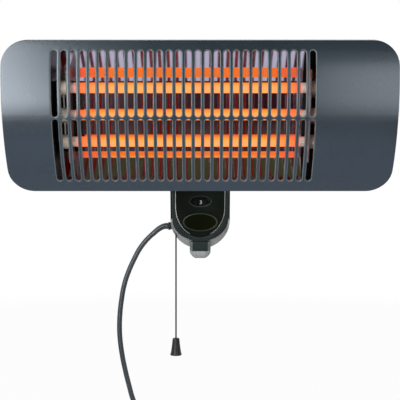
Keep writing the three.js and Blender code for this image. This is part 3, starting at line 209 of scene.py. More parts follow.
# ---------------------------------------------------------------- wall plate
# Pressed steel plate that hangs on four screws. It is powder-coated dark grey, with rolled edges
# and two small holes for the arm. The heater leans 15.5 degrees about an axis 55 mm off the wall.
MM = Matrix.Scale(0.001, 4)
TILT_AXIS = (0, -55, -56)
REST_LEAN = math.radians(15.5)
HEAD_RISE = 180.25
TILTED = MM @ Matrix.Translation(TILT_AXIS) @ Matrix.Rotation(REST_LEAN, 4, "X")
ON_HEAD = TILTED @ Matrix.Translation((0, 0, HEAD_RISE))
UPRIGHT = Matrix.Rotation(math.pi / 2, 3, "X")  # turns a flat drawing to face forward


def finish(name, colour, roughness, drift=0.12, grain=900.0, relief=0.00002, stretch=(1, 1, 1),
           metallic=0.0, uneven=0.12, worn=None, **constants):
    """A surface with slow drifts of colour, uneven gloss and a fine grain, in object space."""
    material = bpy.data.materials.new(name)
    material.use_nodes = True
    shader = material.node_tree.nodes["Principled BSDF"]
    for key, value in {"Metallic": metallic, **constants}.items():
        shader.inputs[key.replace("_", " ")].default_value = value
    start = Shade(material.node_tree)
    own = start.node("ShaderNodeTexCoord", output="Object")
    spread = own.node("ShaderNodeMapping", sockets={"Vector": own, "Scale": stretch})
    slow = own.node("ShaderNodeTexNoise", sockets={"Vector": spread, "Scale": 22.0, "Detail": 4.0})
    fine = own.node("ShaderNodeTexNoise", sockets={"Vector": spread, "Scale": grain, "Detail": 3.0})
    patch = slow.ramp(0.3, 0.7)
    dark = tuple(c * (1 - drift) for c in colour[:3]) + (1,)
    pale = tuple(min(1, c * (1 + drift) + drift * 0.01) for c in colour[:3]) + (1,)
    shade = patch.mixed(dark, pale)
    if worn:
        shade = fine.ramp(0.62, 0.8).mixed(shade, worn)
    gloss = roughness * (1 - uneven / 2) + (patch * 0.6 + fine * 0.4) * (roughness * uneven)
    bump = own.node("ShaderNodeBump", sockets={"Strength": 1.0, "Distance": relief, "Height": fine})
    for socket, value in (("Base Color", shade), ("Roughness", gloss), ("Normal", bump)):
        material.node_tree.links.new(value.socket, shader.inputs[socket])
    return material


def face_front(bm, verts, at=(0, 0, 0)):
    """Turns a flat drawing to face forward and moves it to its place."""
    bmesh.ops.rotate(bm, verts=verts, cent=(0, 0, 0), matrix=UPRIGHT)
    bmesh.ops.translate(bm, verts=verts, vec=at)


def rounded_ring(bm, half, corner, at=(0, 0), segments=24):
    """A closed line in x-z: a rectangle with round corners, or a stadium or a circle."""
    reach = corner / math.cos(math.pi / segments)
    ring = bmesh.ops.create_circle(bm, segments=segments, radius=reach)["verts"]
    bmesh.ops.rotate(
        bm, verts=ring, cent=(0, 0, 0), matrix=Matrix.Rotation(math.pi / segments, 3, "Z")
    )
    for vert in ring:
        vert.co.x += math.copysign(half[0] - corner, vert.co.x)
        vert.co.y += math.copysign(half[1] - corner, vert.co.y)
    face_front(bm, ring, (at[0], 0, at[1]))
    return ring


def push(bm, faces, vec):
    """Extrudes faces along a vector, into a solid."""
    made = bmesh.ops.extrude_face_region(bm, geom=faces)["geom"]
    moved = [item for item in made if isinstance(item, bmesh.types.BMVert)]
    bmesh.ops.translate(bm, verts=moved, vec=vec)
    bmesh.ops.recalc_face_normals(bm, faces=bm.faces)


def thicken(bm, depth):
    """Fills the drawn lines, holes left open, and pushes the sheet back by a depth."""
    bmesh.ops.triangle_fill(bm, use_beauty=True, use_dissolve=False, edges=bm.edges)
    bmesh.ops.dissolve_limit(bm, angle_limit=0.02, verts=bm.verts, edges=bm.edges)
    push(bm, bm.faces[:], (0, depth, 0))


def sharp_edges(bm, least, where=None):
    """The edges at which two faces turn by more than an angle, in radians."""
    return [
        edge for edge in bm.edges
        if len(edge.link_faces) == 2 and edge.calc_face_angle(0) > least
        and (where is None or where(edge))
    ]


def round_off(bm, edges, width, segments):
    """Bevels edges and gives the new faces."""
    return bmesh.ops.bevel(
        bm, geom=edges, offset=width, offset_type="OFFSET", affect="EDGES", segments=segments,
        profile=0.5, material=-1, clamp_overlap=True,
    )["faces"]


def soften(bm, width, segments=2, angle=40, where=None):
    """Rounds the edges that are sharper than an angle in degrees."""
    round_off(bm, sharp_edges(bm, math.radians(angle), where), width, segments)


def gather(bm, part, at=None):
    """Adds another shape to this one and uses it up."""
    if at is not None:
        part.transform(at)
    held = bpy.data.meshes.new("held")
    part.to_mesh(held)
    part.free()
    bm.from_mesh(held)
    bpy.data.meshes.remove(held)


def fit(name, bm, at, body, materials, nodes=(), crease=32):
    """Puts a finished shape in place, keeps creases from an angle on, and gives it its body."""
    bm.transform(at)
    mesh = bpy.data.meshes.new(name)
    bm.to_mesh(mesh)
    bm.free()
    mesh.shade_smooth()
    mesh.set_sharp_from_angle(angle=math.radians(crease))
    for material in materials:
        mesh.materials.append(material)
    piece = bpy.data.objects.new(name, mesh)
    scene.collection.objects.link(piece)
    if body:
        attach(piece, body)
    if nodes:
        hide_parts(*nodes)
    return piece


bracket_paint = finish(
    "bracket_powder_coat", tint(92, 98, 104), 0.46, grain=1400, relief=0.00004,
    worn=tint(112, 118, 124),
)
wall_bm = bmesh.new()
rounded_ring(wall_bm, (32, 45), 10, segments=40)
for hole_x in (-22, 22):
    for hole_z in (-33, 33):
        rounded_ring(wall_bm, (3.25, 3.25), 3.25, (hole_x, hole_z))
for hole_z in (-20, 20):
    rounded_ring(wall_bm, (2.3, 2.3), 2.3, (0, hole_z), 16)
thicken(wall_bm, 4)
soften(wall_bm, 0.8)
fit(
    "wall_plate_pressing", wall_bm, MM @ Matrix.Translation((0, -4, 0)), "wall_bracket",
    [bracket_paint], ["wall_plate"],
)

# ---------------------------------------------------------------- bracket arm and its two screws
# Cast arm with a flange on the plate, a gusset and a round eye between the knuckle's cheeks. Two
# pan-head screws with round sockets hold the flange.
arm_bm = bmesh.new()


def side_plate(profile, half):
    """A shape drawn from the side, in y-z, as thick as twice `half` across x."""
    bm = bmesh.new()
    push(bm, [bm.faces.new([bm.verts.new((-half, y, z)) for y, z in profile])], (2 * half, 0, 0))
    return bm


def arc(centre, radius, start, end, steps):
    """Points on an arc in y-z, in degrees from +y."""
    return [
        (
            centre[0] + radius * math.cos(math.radians(start + (end - start) * i / steps)),
            centre[1] + radius * math.sin(math.radians(start + (end - start) * i / steps)),
        )
        for i in range(steps + 1)
    ]


arm_side = arc(TILT_AXIS[1:], 12.2, 47.54, 312.46, 40) + [
    (-4.4, -65), (-4.4, -31), (-9.2, -31), (-21.3, -47),
]
gusset_bm = side_plate(arm_side, 5)
soften(gusset_bm, 0.9, angle=34)
gather(arm_bm, gusset_bm)
flange_bm = bmesh.new()
rounded_ring(flange_bm, (12, 47.4), 4, (0, -17.5), 24)
for hole_z in (-20, 20):
    rounded_ring(flange_bm, (2.3, 2.3), 2.3, (0, hole_z), 16)
thicken(flange_bm, 5)
soften(flange_bm, 0.9)
gather(arm_bm, flange_bm, Matrix.Translation((0, -9.3, 0)))
fit("bracket_casting", arm_bm, MM, "wall_bracket", [bracket_paint], ["bracket_arm"])


def turned(profile, steps=32):
    """A shape turned about z from pairs of a radius and a height."""
    bm = bmesh.new()
    line = [bm.verts.new((radius, 0, height)) for radius, height in profile]
    edges = [bm.edges.new(pair) for pair in zip(line, line[1:])]
    bmesh.ops.spin(
        bm, geom=line + edges, cent=(0, 0, 0), axis=(0, 0, 1), angle=2 * math.pi, steps=steps,
        use_merge=True,
    )
    bmesh.ops.remove_doubles(bm, verts=bm.verts, dist=1e-4)
    bmesh.ops.recalc_face_normals(bm, faces=bm.faces)
    return bm


def pan_screw(shank, head, rise, length):
    """A pan-head screw along z from its seat: domed head with a round socket, bare shank."""
    return turned(
        [(0, rise - 1.2), (head * 0.22, rise - 1.2), (head * 0.22, rise - 0.1), (head * 0.3, rise),
         (head * 0.4, rise * 0.8), (head * 0.48, rise * 0.4), (head * 0.5, 0.3), (head * 0.49, 0),
         (shank / 2, 0), (shank / 2, -length + 0.8), (shank * 0.3, -length), (0, -length)], 24,
    )


zinc = finish(
    "zinc_plated_steel", tint(196, 194, 186), 0.34, drift=0.18, grain=700, metallic=1.0, uneven=0.5
)
TO_FRONT = Matrix.Rotation(math.pi / 2, 4, "X")  # z to -y
TO_BACK = Matrix.Rotation(-math.pi / 2, 4, "X")  # z to +y
TO_RIGHT = Matrix.Rotation(math.pi / 2, 4, "Y")  # z to +x
TO_LEFT = Matrix.Rotation(-math.pi / 2, 4, "Y")
for name, level in (("arm_screw_lower", -20), ("arm_screw_upper", 20)):
    at = MM @ Matrix.Translation((0, -9.7, level)) @ TO_FRONT
    fit(name + "_head", pan_screw(4, 8, 3, 9.2), at, "wall_bracket", [zinc], [name])

# ---------------------------------------------------------------- box: rear shell and knuckle
# Moulded grey shell with a round bottom and a sloping chin. The knuckle that clasps the arm's eye
# is moulded on below: two cheeks, a dark front tab with chamfered sides and a rounded end.
BOX_TOP = 87.3


def u_ring(bm, half, centre, drop, top, depth=0.0):
    """A closed line in x-z: straight sides down to a centre, then half an ellipse below it."""
    arc_verts = bmesh.ops.create_circle(bm, segments=56, radius=1.0)["verts"]
    bmesh.ops.delete(bm, geom=[v for v in arc_verts if v.co.y > 1e-4], context="VERTS")
    arc_verts = [v for v in arc_verts if v.is_valid]
    bmesh.ops.scale(bm, verts=arc_verts, vec=(half, drop, 1))
    face_front(bm, arc_verts, (0, depth, centre))
    ends = [v for v in arc_verts if v.co.z > centre - 1e-3]
    tops = bmesh.ops.extrude_vert_indiv(bm, verts=ends)["verts"]
    for vert in tops:
        vert.co.z = top
    bm.edges.new(tops)


def reshape(verts, old, new, depth):
    """Moves a U-shaped line from one outline (half width, centre, drop) to another, at a depth."""
    for vert in verts:
        vert.co.x *= new[0] / old[0]
        if vert.co.z <= old[1] + 1e-3:
            vert.co.z = new[1] + (vert.co.z - old[1]) * new[2] / old[2]
        vert.co.y = depth


def pulled(bm, edges):
    """Extrudes a line of edges and gives the new corners and edges."""
    made = bmesh.ops.extrude_edge_only(bm, edges=edges)["geom"]
    return (
        [item for item in made if isinstance(item, bmesh.types.BMVert)],
        [item for item in made if isinstance(item, bmesh.types.BMEdge)],
    )


shell_bm = bmesh.new()
FRONT_LINE, FULL_LINE, BACK_LINE = (36.7, 44.3, 30.5), (39.5, 36.0, 39.5), (35.5, 36.0, 35.5)
BOX_FRONT = -9.7
u_ring(shell_bm, *FRONT_LINE, BOX_TOP, BOX_FRONT)
line = shell_bm.edges[:]
old = FRONT_LINE
for new, depth in ((FULL_LINE, 6.0), (FULL_LINE, 24.0), (BACK_LINE, 30.0)):
    verts, line = pulled(shell_bm, line)
    reshape(verts, old, new, depth)
    old = new
for vert in verts:
    if vert.co.z > BOX_TOP - 1:
        vert.co.z = BOX_TOP - 1.5
bmesh.ops.edgeloop_fill(shell_bm, edges=line)
bmesh.ops.recalc_face_normals(shell_bm, faces=shell_bm.faces)
soften(shell_bm, 1.6, 3, 25, lambda edge: min(v.co.y for v in edge.verts) > 5)
for face in shell_bm.faces:
    if min(v.co.z for v in face.verts) > 35.9 and max(v.co.y for v in face.verts) < 24.5:
        face.material_index = 3  # black above the chin
bmesh.ops.solidify(shell_bm, geom=shell_bm.faces[:], thickness=2.2)
bmesh.ops.recalc_face_normals(shell_bm, faces=shell_bm.faces)

HALF, RADIUS, GAP_HALF, EYE = 13.8, 13.8, 6.6, 12.5


def pillar(plan, low, high):
    """A shape drawn from above, in x-y, between two heights."""
    bm = bmesh.new()
    push(bm, [bm.faces.new([bm.verts.new((x, y, low)) for x, y in plan])], (0, 0, high - low))
    return bm


def barrel(profile, angle, steps):
    """Pairs of a place along x and a radius, turned down and back about the tilt axis."""
    bm = bmesh.new()
    line = [bm.verts.new((x, -radius, 0)) for x, radius in profile]
    edges = [bm.edges.new(pair) for pair in zip(line, line[1:])]
    bmesh.ops.spin(
        bm, geom=line + edges, cent=(0, 0, 0), axis=(1, 0, 0), angle=math.radians(angle),
        steps=steps,
    )
    bmesh.ops.remove_doubles(bm, verts=bm.verts, dist=1e-4)
    bmesh.ops.recalc_face_normals(bm, faces=bm.faces)
    return bm


tab = pillar(
    [(HALF, BOX_FRONT), (HALF, -11), (HALF - 3.6, -15), (3.6 - HALF, -15), (-HALF, -11),
     (-HALF, BOX_FRONT), (-GAP_HALF, BOX_FRONT), (-GAP_HALF, -12.6), (GAP_HALF, -12.6),
     (GAP_HALF, BOX_FRONT)], 0.5, 13.4,
)
soften(tab, 0.35)
# The tab's chamfered sides get a lighter grey as a painted highlight; the rest of the tab is black.
for face in tab.faces:
    face.material_index = 2 if 0.4 < abs(face.normal.x) < 0.95 else 1
gather(shell_bm, tab)
cheek_end = [
    (-GAP_HALF, 0), (-GAP_HALF, RADIUS), (0.2 - GAP_HALF, RADIUS), (4.6 - HALF, RADIUS - 1.5),
    (2 - HALF, RADIUS - 4), (-HALF, RADIUS - 7.6), (-HALF, 0),
]
for side in (-1, 1):
    gather(shell_bm, barrel([(-side * x, radius) for x, radius in cheek_end], 180, 32))
    inner, outer = side * GAP_HALF, side * HALF
    cheek = [(inner, BOX_FRONT), (outer, BOX_FRONT), (outer, RADIUS), (inner, RADIUS)]
    gather(shell_bm, pillar(cheek, 0, 16))
web = [(-GAP_HALF, EYE), (-GAP_HALF, RADIUS), (GAP_HALF, RADIUS), (GAP_HALF, EYE), (-GAP_HALF, EYE)]
gather(shell_bm, barrel(web, 84, 16))
roof = [(BOX_FRONT, 7.9)] + arc((0, 0), EYE, 141, 90, 12)
roof += [(RADIUS, EYE), (RADIUS, 16), (BOX_FRONT, 16)]
gather(shell_bm, side_plate(roof, GAP_HALF))
grey_plastic = finish(
    "moulded_grey_plastic", tint(132, 136, 141), 0.4, grain=1600, relief=0.00003, drift=0.08
)
black_plastic = finish(
    "moulded_black_plastic", tint(24, 33, 35), 0.4, grain=1500, relief=0.00003, drift=0.14,
    worn=tint(34, 42, 44), Specular_IOR_Level=0.2,
)
matt_black = finish("matt_black_side", tint(26, 34, 36), 0.6, grain=1500, Specular_IOR_Level=0.0)
# Lighter grey for the tab's chamfers: painted highlight.
bevel_highlight_grey = finish("painted_bevel_highlight", tint(82, 90, 93), 0.4, grain=1500, relief=0.00003)
fit(
    "rear_shell_moulding", shell_bm, TILTED, "heater",
    [grey_plastic, black_plastic, bevel_highlight_grey, matt_black], ["rear_shell"],
)

# ---------------------------------------------------------------- box: front shell
# Moulded black shell with rolled edges, a recess for the fascia and an oval window opening.
WINDOW_LEVEL = 68.5


def oval(bm, half, level=0.0, segments=48):
    """A closed line in x-z: an ellipse."""
    line = bmesh.ops.create_circle(bm, segments=segments, radius=1.0)["verts"]
    bmesh.ops.scale(bm, verts=line, vec=(*half, 1))
    face_front(bm, line, (0, 0, level))


front_bm = bmesh.new()
u_ring(front_bm, *FRONT_LINE, BOX_TOP)
oval(front_bm, (12.2, 5.3), WINDOW_LEVEL, 40)
thicken(front_bm, 2.4)
bmesh.ops.translate(front_bm, verts=front_bm.verts, vec=(0, -12.4, 0))
frame_bm = bmesh.new()
u_ring(frame_bm, *FRONT_LINE, BOX_TOP)
u_ring(frame_bm, 32.7, 59.7, 39.7, BOX_TOP - 2.7)
thicken(frame_bm, 5)


def in_front(edge):
    return all(v.co.y < 0.1 for v in edge.verts)


soften(frame_bm, 1.1, 3, 40, in_front)
gather(front_bm, frame_bm, Matrix.Translation((0, -15, 0)))
fit(
    "front_shell_moulding", front_bm, TILTED, "heater", [black_plastic],
    ["front_shell"],
)

# ---------------------------------------------------------------- box: fascia plate
# Satin black plate let into the front shell. Its rim is cut at a slant, and a light grey painted
# highlight on the slant shows as a thin light line.
fascia_bm = bmesh.new()
u_ring(fascia_bm, 32.4, 59.7, 39.4, BOX_TOP - 3)
oval(fascia_bm, (13.7, 6.8), WINDOW_LEVEL)
thicken(fascia_bm, 2)
# The slant's faces carry a painted highlight: light grey on the outer rim, dim grey round the
# window.
for face in round_off(fascia_bm, sharp_edges(fascia_bm, 0.7, in_front), 0.85, 1):
    middle = face.calc_center_median()
    if math.hypot(middle.x / 20, (middle.z - WINDOW_LEVEL) / 13) < 1:
        face.material_index = 2  # round the window
    elif abs(middle.x) > 14:
        face.material_index = 1  # the outer rim, but not its lowest part
fascia_black = finish(
    "satin_black_plate", tint(9, 16, 13), 0.3, grain=2000, relief=0.00001, drift=0.2,
    worn=tint(14, 22, 18), Specular_IOR_Level=0.07,
)
# Light grey painted highlight for the rim's slant.
fascia_rim_highlight = finish("painted_rim_highlight", tint(196, 204, 202), 0.3, drift=0.1, metallic=0.3)
# Dim grey painted highlight on the slant round the window.
window_highlight = finish("dim_painted_highlight_round_window", tint(44, 54, 52), 0.4, drift=0.1, Specular_IOR_Level=0.2)
fit(
    "fascia_pressing", fascia_bm, TILTED @ Matrix.Translation((0, -14.7, 0)), "heater",
    [fascia_black, fascia_rim_highlight, window_highlight], ["fascia_plate"], 20,
)

# ---------------------------------------------------------------- window lens
# Dark tinted oval lens, polished, with a rounded edge. The drum's number shows through it.
lens_bm = bmesh.new()
oval(lens_bm, (13.4, 6.5))
thicken(lens_bm, 1.8)
soften(lens_bm, 0.5, 3)
tinted = finish(
    "tinted_lens", tint(5, 9, 10), 0.08, drift=0.3, grain=300, relief=0.000002, Alpha=0.45,
    Specular_IOR_Level=0.12,
)
fit(
    "window_glass", lens_bm, TILTED @ Matrix.Translation((0, -14.5, WINDOW_LEVEL)), "heater",
    [tinted], ["window_lens"],
)

# ---------------------------------------------------------------- badge plate
# Bare oval plate in olive black, slightly domed, with a paler raised rim.
BADGE = (22.9, 12.3)
badge_bm = turned(
    [(0, 0.62), (0.6, 0.6), (0.86, 0.5), (0.905, 0.46), (0.925, 0.7), (0.965, 0.7), (1.0, 0.4),
     (1.0, 0.0), (0, 0)], 72,
)
bmesh.ops.scale(badge_bm, verts=badge_bm.verts, vec=(*BADGE, 1))
for face in badge_bm.faces:
    middle = face.calc_center_median()
    if (middle.x / BADGE[0]) ** 2 + (middle.y / BADGE[1]) ** 2 > 0.82:
        face.material_index = 1  # the raised rim
badge_black = finish(
    "olive_black_badge", tint(8, 12, 0), 0.24, drift=0.25, grain=600, relief=0.00001,
    Specular_IOR_Level=0.05,
)
badge_rim = finish("olive_grey_rim", tint(42, 48, 36), 0.35, drift=0.2, Specular_IOR_Level=0.2)
fit(
    "badge_oval", badge_bm, TILTED @ Matrix.Translation((0, -15.0, 40.5)) @ TO_FRONT, "heater",
    [badge_black, badge_rim], ["badge_plate"], 20,
)

# ---------------------------------------------------------------- indicator drum and its numbers
# Black drum on the switch shaft, with white numbers 0 to 3, a quarter turn apart, that have a
# faint painted glow and show a little through the lens.
drum_bm = turned(
    [(2.8, -11), (5.5, -11), (5.5, -1.5), (10, -1.5), (10, -11), (12.6, -11), (13, -10.6),
     (13, 10.6), (12.6, 11), (10, 11), (10, 1.5), (5.5, 1.5), (5.5, 11), (2.8, 11), (2.8, -11)], 64,
)
drum_bm.transform(TO_RIGHT)
drum_black = finish("drum_black", tint(12, 14, 15), 0.5, drift=0.2, Specular_IOR_Level=0.1)
DRUM_AT = TILTED @ Matrix.Translation((0, 4.5, WINDOW_LEVEL))
fit("drum_moulding", drum_bm, DRUM_AT, "selector", [drum_black], ["indicator_drum"])
# The printed numbers are given a painted glow.
number_white_painted_glow = finish(
    "number_white_painted_glow", tint(245, 246, 246), 0.5, drift=0.03, Emission_Color=WHITE,
    Emission_Strength=0.9,
)


def drawn_shape(drawing):
    """What a curve or a text draws, as a mesh to work on."""
    held = bpy.data.objects.new("held", drawing)
    scene.collection.objects.link(held)
    bpy.context.view_layer.update()
    view = bpy.context.evaluated_depsgraph_get()
    shape = bpy.data.meshes.new_from_object(held.evaluated_get(view))
    bpy.data.objects.remove(held)
    bm = bmesh.new()
    bm.from_mesh(shape)
    bpy.data.meshes.remove(shape)
    return bm


PRINT_RADIUS = 13.06
numbers_bm = bmesh.new()
for quarter, sign in enumerate("3012"):
    letter = bpy.data.curves.new("number", "FONT")
    letter.body = sign
    letter.size = 7.6
    letter.align_x = letter.align_y = "CENTER"
    letter.extrude = 0.05
    letter.offset = 0.12
    number_bm = drawn_shape(letter)
    long_edges = [e for e in number_bm.edges if e.calc_length() > 1.0]
    bmesh.ops.subdivide_edges(number_bm, edges=long_edges, cuts=2)
    for vert in number_bm.verts:
        angle = math.radians(90 * quarter - 15) + vert.co.y / 13
        radius = PRINT_RADIUS + vert.co.z
        vert.co = (vert.co.x + 0.9, -radius * math.cos(angle), radius * math.sin(angle))
    gather(numbers_bm, number_bm)
fit("drum_numbers", numbers_bm, DRUM_AT, "selector", [number_white_painted_glow])

# ---------------------------------------------------------------- tilt bolt, nut and washers
# Zinc-plated bolt through the knuckle, its head and nut in round recesses, and two black washers.
bolt_bm = turned(
    [(0, 3.0), (2.2, 3.0), (2.2, 3.5), (2.6, 3.6), (3.9, 3.4), (4.5, 2.6), (4.5, 0), (3, 0),
     (3, -22.6), (2.4, -23.3), (0, -23.3)], 32,
)
fit(
    "tilt_bolt", bolt_bm, TILTED @ Matrix.Translation((-10.1, 0, 0)) @ TO_LEFT, "heater",
    [zinc], ["pivot_bolt"],
)
nut_bm = bmesh.new()
bmesh.ops.create_circle(nut_bm, segments=6, radius=4.62)
bmesh.ops.create_circle(nut_bm, segments=24, radius=3.2)
face_front(nut_bm, nut_bm.verts[:])
thicken(nut_bm, 3.2)
soften(nut_bm, 0.4)
nut_at = TILTED @ Matrix.Translation((10.1, 0, 0)) @ Matrix.Rotation(-math.pi / 2, 4, "Z")
fit("tilt_nut", nut_bm, nut_at, "heater", [zinc], ["pivot_nut"])

# ---------------------------------------------------------------- head: rear housing
# Deep-drawn steel housing in the cover's slate paint, with a tapered shoulder, a shallow pressed
# panel in its back and four screws. It goes a little way into the cover's rim.
slate_paint = finish(
    "slate_hammer_paint", tint(45, 61, 77), 0.28, grain=1300, relief=0.00001, drift=0.04,
    metallic=0.6, uneven=0.2, worn=tint(54, 70, 86), Coat_Weight=0.9, Coat_Roughness=0.26,
)
HOUSING = (238.4, 92.65)
HOUSING_STEPS = (  # how far the sides and the floor have come in, and the depth
    (0.0, 0.0, -14.0), (3.0, 0.0, 16.0), (6.0, 0.0, 23.5), (12.0, 6.0, 31.0),
)
housing_bm = bmesh.new()
for vert in rounded_ring(housing_bm, HOUSING, 28.4, segments=48):
    vert.co.y = -26.1
line = housing_bm.edges[:]
sides, floor = 0.0, 0.0
for next_sides, next_floor, depth in HOUSING_STEPS:
    verts, line = pulled(housing_bm, line)
    for vert in verts:
        vert.co.x *= (HOUSING[0] - next_sides) / (HOUSING[0] - sides)
        now, before = (next_sides, sides) if vert.co.z > 0 else (next_floor, floor)
        vert.co.z *= (HOUSING[1] - now) / (HOUSING[1] - before)
        vert.co.y = depth
    sides, floor = next_sides, next_floor
back = bmesh.ops.edgeloop_fill(housing_bm, edges=line)["faces"]
bmesh.ops.recalc_face_normals(housing_bm, faces=housing_bm.faces)
bmesh.ops.inset_region(housing_bm, faces=back, thickness=12, depth=0, use_even_offset=True)
bmesh.ops.inset_region(housing_bm, faces=back, thickness=2.2, depth=-1.4, use_even_offset=True)
soften(housing_bm, 2.4, 3, 14, lambda edge: min(v.co.y for v in edge.verts) > 15)
bmesh.ops.solidify(housing_bm, geom=housing_bm.faces[:], thickness=1.2)
bmesh.ops.recalc_face_normals(housing_bm, faces=housing_bm.faces)
fit(
    "housing_pressing", housing_bm, ON_HEAD, "heater", [slate_paint],
    ["rear_housing"],
)
for side, hole_x in (("left", -172.2), ("right", 144.2)):
    for level, hole_z in (("lower", -45), ("upper", 45)):
        at = ON_HEAD @ Matrix.Translation((hole_x, 31.2, hole_z)) @ TO_BACK
        fit(
            f"housing_screw_{side}_{level}", pan_screw(3, 6.4, 2.2, 20), at, "heater",
            [zinc], [f"holder_screw_{side}_{level}"],
        )

# ---------------------------------------------------------------- head: front cover
# One sheet, punched with 28 columns of slots in two rows, each slot's edge rolled in, then curved
# about a level line and folded back all round.
FACE_RADIUS = 215.0
HALF_WIDTH, HALF_CHORD = 240.0, 94.25
FACE_CENTRE = -29.1 + math.sqrt(FACE_RADIUS ** 2 - HALF_CHORD ** 2)
SLOT_PITCH, SLOT_WIDTH, COLUMNS = 11.55, 7.1, 28
FIRST_SLOT = -176.1
ROWS = ((4.4, 82.6, 2.85, 87.6), (-79.1, 1.3, -84.1, 2.85))  # slot's bottom and top, its cell's too
CORNER = 30.0
STRAIGHT_X, STRAIGHT_Z = HALF_WIDTH - CORNER, HALF_CHORD - CORNER  # where the round corners start
cover_bm = bmesh.new()
for bottom, top, cell_bottom, cell_top in ROWS:
    cell = bmesh.new()
    half = SLOT_WIDTH / 2
    middle = (FIRST_SLOT, (top + bottom) / 2)
    rounded_ring(cell, (half, (top - bottom) / 2), half, middle, segments=20)
    tall = [e for e in cell.edges if e.calc_length() > 20]
    bmesh.ops.subdivide_edges(cell, edges=tall, cuts=9)
    outer, _ = pulled(cell, cell.edges[:])
    for vert in outer:
        x = vert.co.x - FIRST_SLOT
        for centre, edge in ((top - half, cell_top), (bottom + half, cell_bottom)):
            out = (vert.co.z - centre) * (1 if edge > centre else -1)
            if out > 1e-4:
                longest = max(abs(x), out)
                vert.co.z = centre + (edge - centre) * out / longest
                x *= (SLOT_PITCH / 2) / longest
                break
        else:
            x = math.copysign(SLOT_PITCH / 2, x)
        vert.co.x = FIRST_SLOT + x
    gather(cover_bm, cell)
first_cells = cover_bm.verts[:] + cover_bm.edges[:] + cover_bm.faces[:]
for column in range(1, COLUMNS):
    copied = bmesh.ops.duplicate(cover_bm, geom=first_cells)["geom"]
    copied = [item for item in copied if isinstance(item, bmesh.types.BMVert)]
    bmesh.ops.translate(cover_bm, verts=copied, vec=(column * SLOT_PITCH, 0, 0))
bmesh.ops.remove_doubles(cover_bm, verts=cover_bm.verts, dist=0.01)


def open_edges(where):
    free = [e for e in cover_bm.edges if len(e.link_faces) == 1]
    return [e for e in free if all(where(v.co) for v in e.verts)]


block_left, block_right = FIRST_SLOT - SLOT_PITCH / 2, FIRST_SLOT + (COLUMNS - 0.5) * SLOT_PITCH
STEPS = 6
for limit, toward in ((block_left, -1), (block_right, 1)):
    line = open_edges(lambda co: abs(co.x - limit) < 0.02)
    for step in range(STEPS + 1):
        verts, line = pulled(cover_bm, line)
        for vert in verts:
            vert.co.x = toward * (STRAIGHT_X + CORNER * step / STEPS)
for limit, goal in ((ROWS[0][3], HALF_CHORD), (ROWS[1][2], -HALF_CHORD)):
    line = open_edges(lambda co: abs(co.z - limit) < 0.02)
    for step in range(1, 3):
        verts, line = pulled(cover_bm, line)
        for vert in verts:
            vert.co.z = limit + (goal - limit) * step / 2
for vert in cover_bm.verts:
    u, v = (abs(vert.co.x) - STRAIGHT_X) / CORNER, (abs(vert.co.z) - STRAIGHT_Z) / CORNER
    if u > 0 and v > 0:
        vert.co.x = math.copysign(STRAIGHT_X + CORNER * u * math.sqrt(1 - v * v / 2), vert.co.x)
        vert.co.z = math.copysign(STRAIGHT_Z + CORNER * v * math.sqrt(1 - u * u / 2), vert.co.z)


def at_rim(co, slack):
    return abs(co.x) > STRAIGHT_X - 0.1 or abs(co.z) > HALF_CHORD - slack


rim_edges = open_edges(lambda co: at_rim(co, 0.1))
known = set(rim_edges)
lip_edges = [e for e in cover_bm.edges if len(e.link_faces) == 1 and e not in known]
lips, _ = pulled(cover_bm, lip_edges)
for vert in lips:
    vert.co.y = 2.6
for vert in cover_bm.verts:
    angle = math.asin(vert.co.z / FACE_RADIUS)
    radius = FACE_RADIUS - vert.co.y
    vert.co.y = FACE_CENTRE - radius * math.cos(angle)
    vert.co.z = radius * math.sin(angle)
fold, _ = pulled(cover_bm, rim_edges)
for vert in fold:
    vert.co.y = -16.1
bmesh.ops.recalc_face_normals(cover_bm, faces=cover_bm.faces)
# The rolled lips of the slots get the lighter paint: a painted highlight on their edges.
for vert in lips:
    for face in vert.link_faces:
        face.material_index = 1
for face in round_off(cover_bm, lip_edges, 1.0, 3):
    face.material_index = 1
rim_line = sharp_edges(cover_bm, 0.6, lambda edge: all(at_rim(v.co, 0.4) for v in edge.verts))
round_off(cover_bm, rim_line, 3.2, 4)
# Lighter slate for the lips, as a painted highlight on the rolled edges.
lip_highlight_paint = finish(
    "lip_painted_highlight", tint(90, 103, 109), 0.32, grain=1300, relief=0.00002, drift=0.1,
    metallic=0.35, uneven=0.2,
)
# Saturated red for the sheet's inner side: the tubes' painted red glow on the backs of the ribs.
red_glow_paint = finish("painted_red_tube_glow", tint(168, 5, 10), 0.6, drift=0.2, grain=900)
cover = fit(
    "cover_pressing", cover_bm, ON_HEAD, "heater",
    [slate_paint, lip_highlight_paint, red_glow_paint, red_glow_paint], ["front_cover"], 40,
)
sheet = cover.modifiers.new("sheet", "SOLIDIFY")
sheet.thickness = 0.0011
sheet.offset = -1.0
sheet.material_offset = 2  # painted red glow of the tubes, on the side that faces them
shading = cover.modifiers.new("shading", "WEIGHTED_NORMAL")
shading.keep_sharp = True

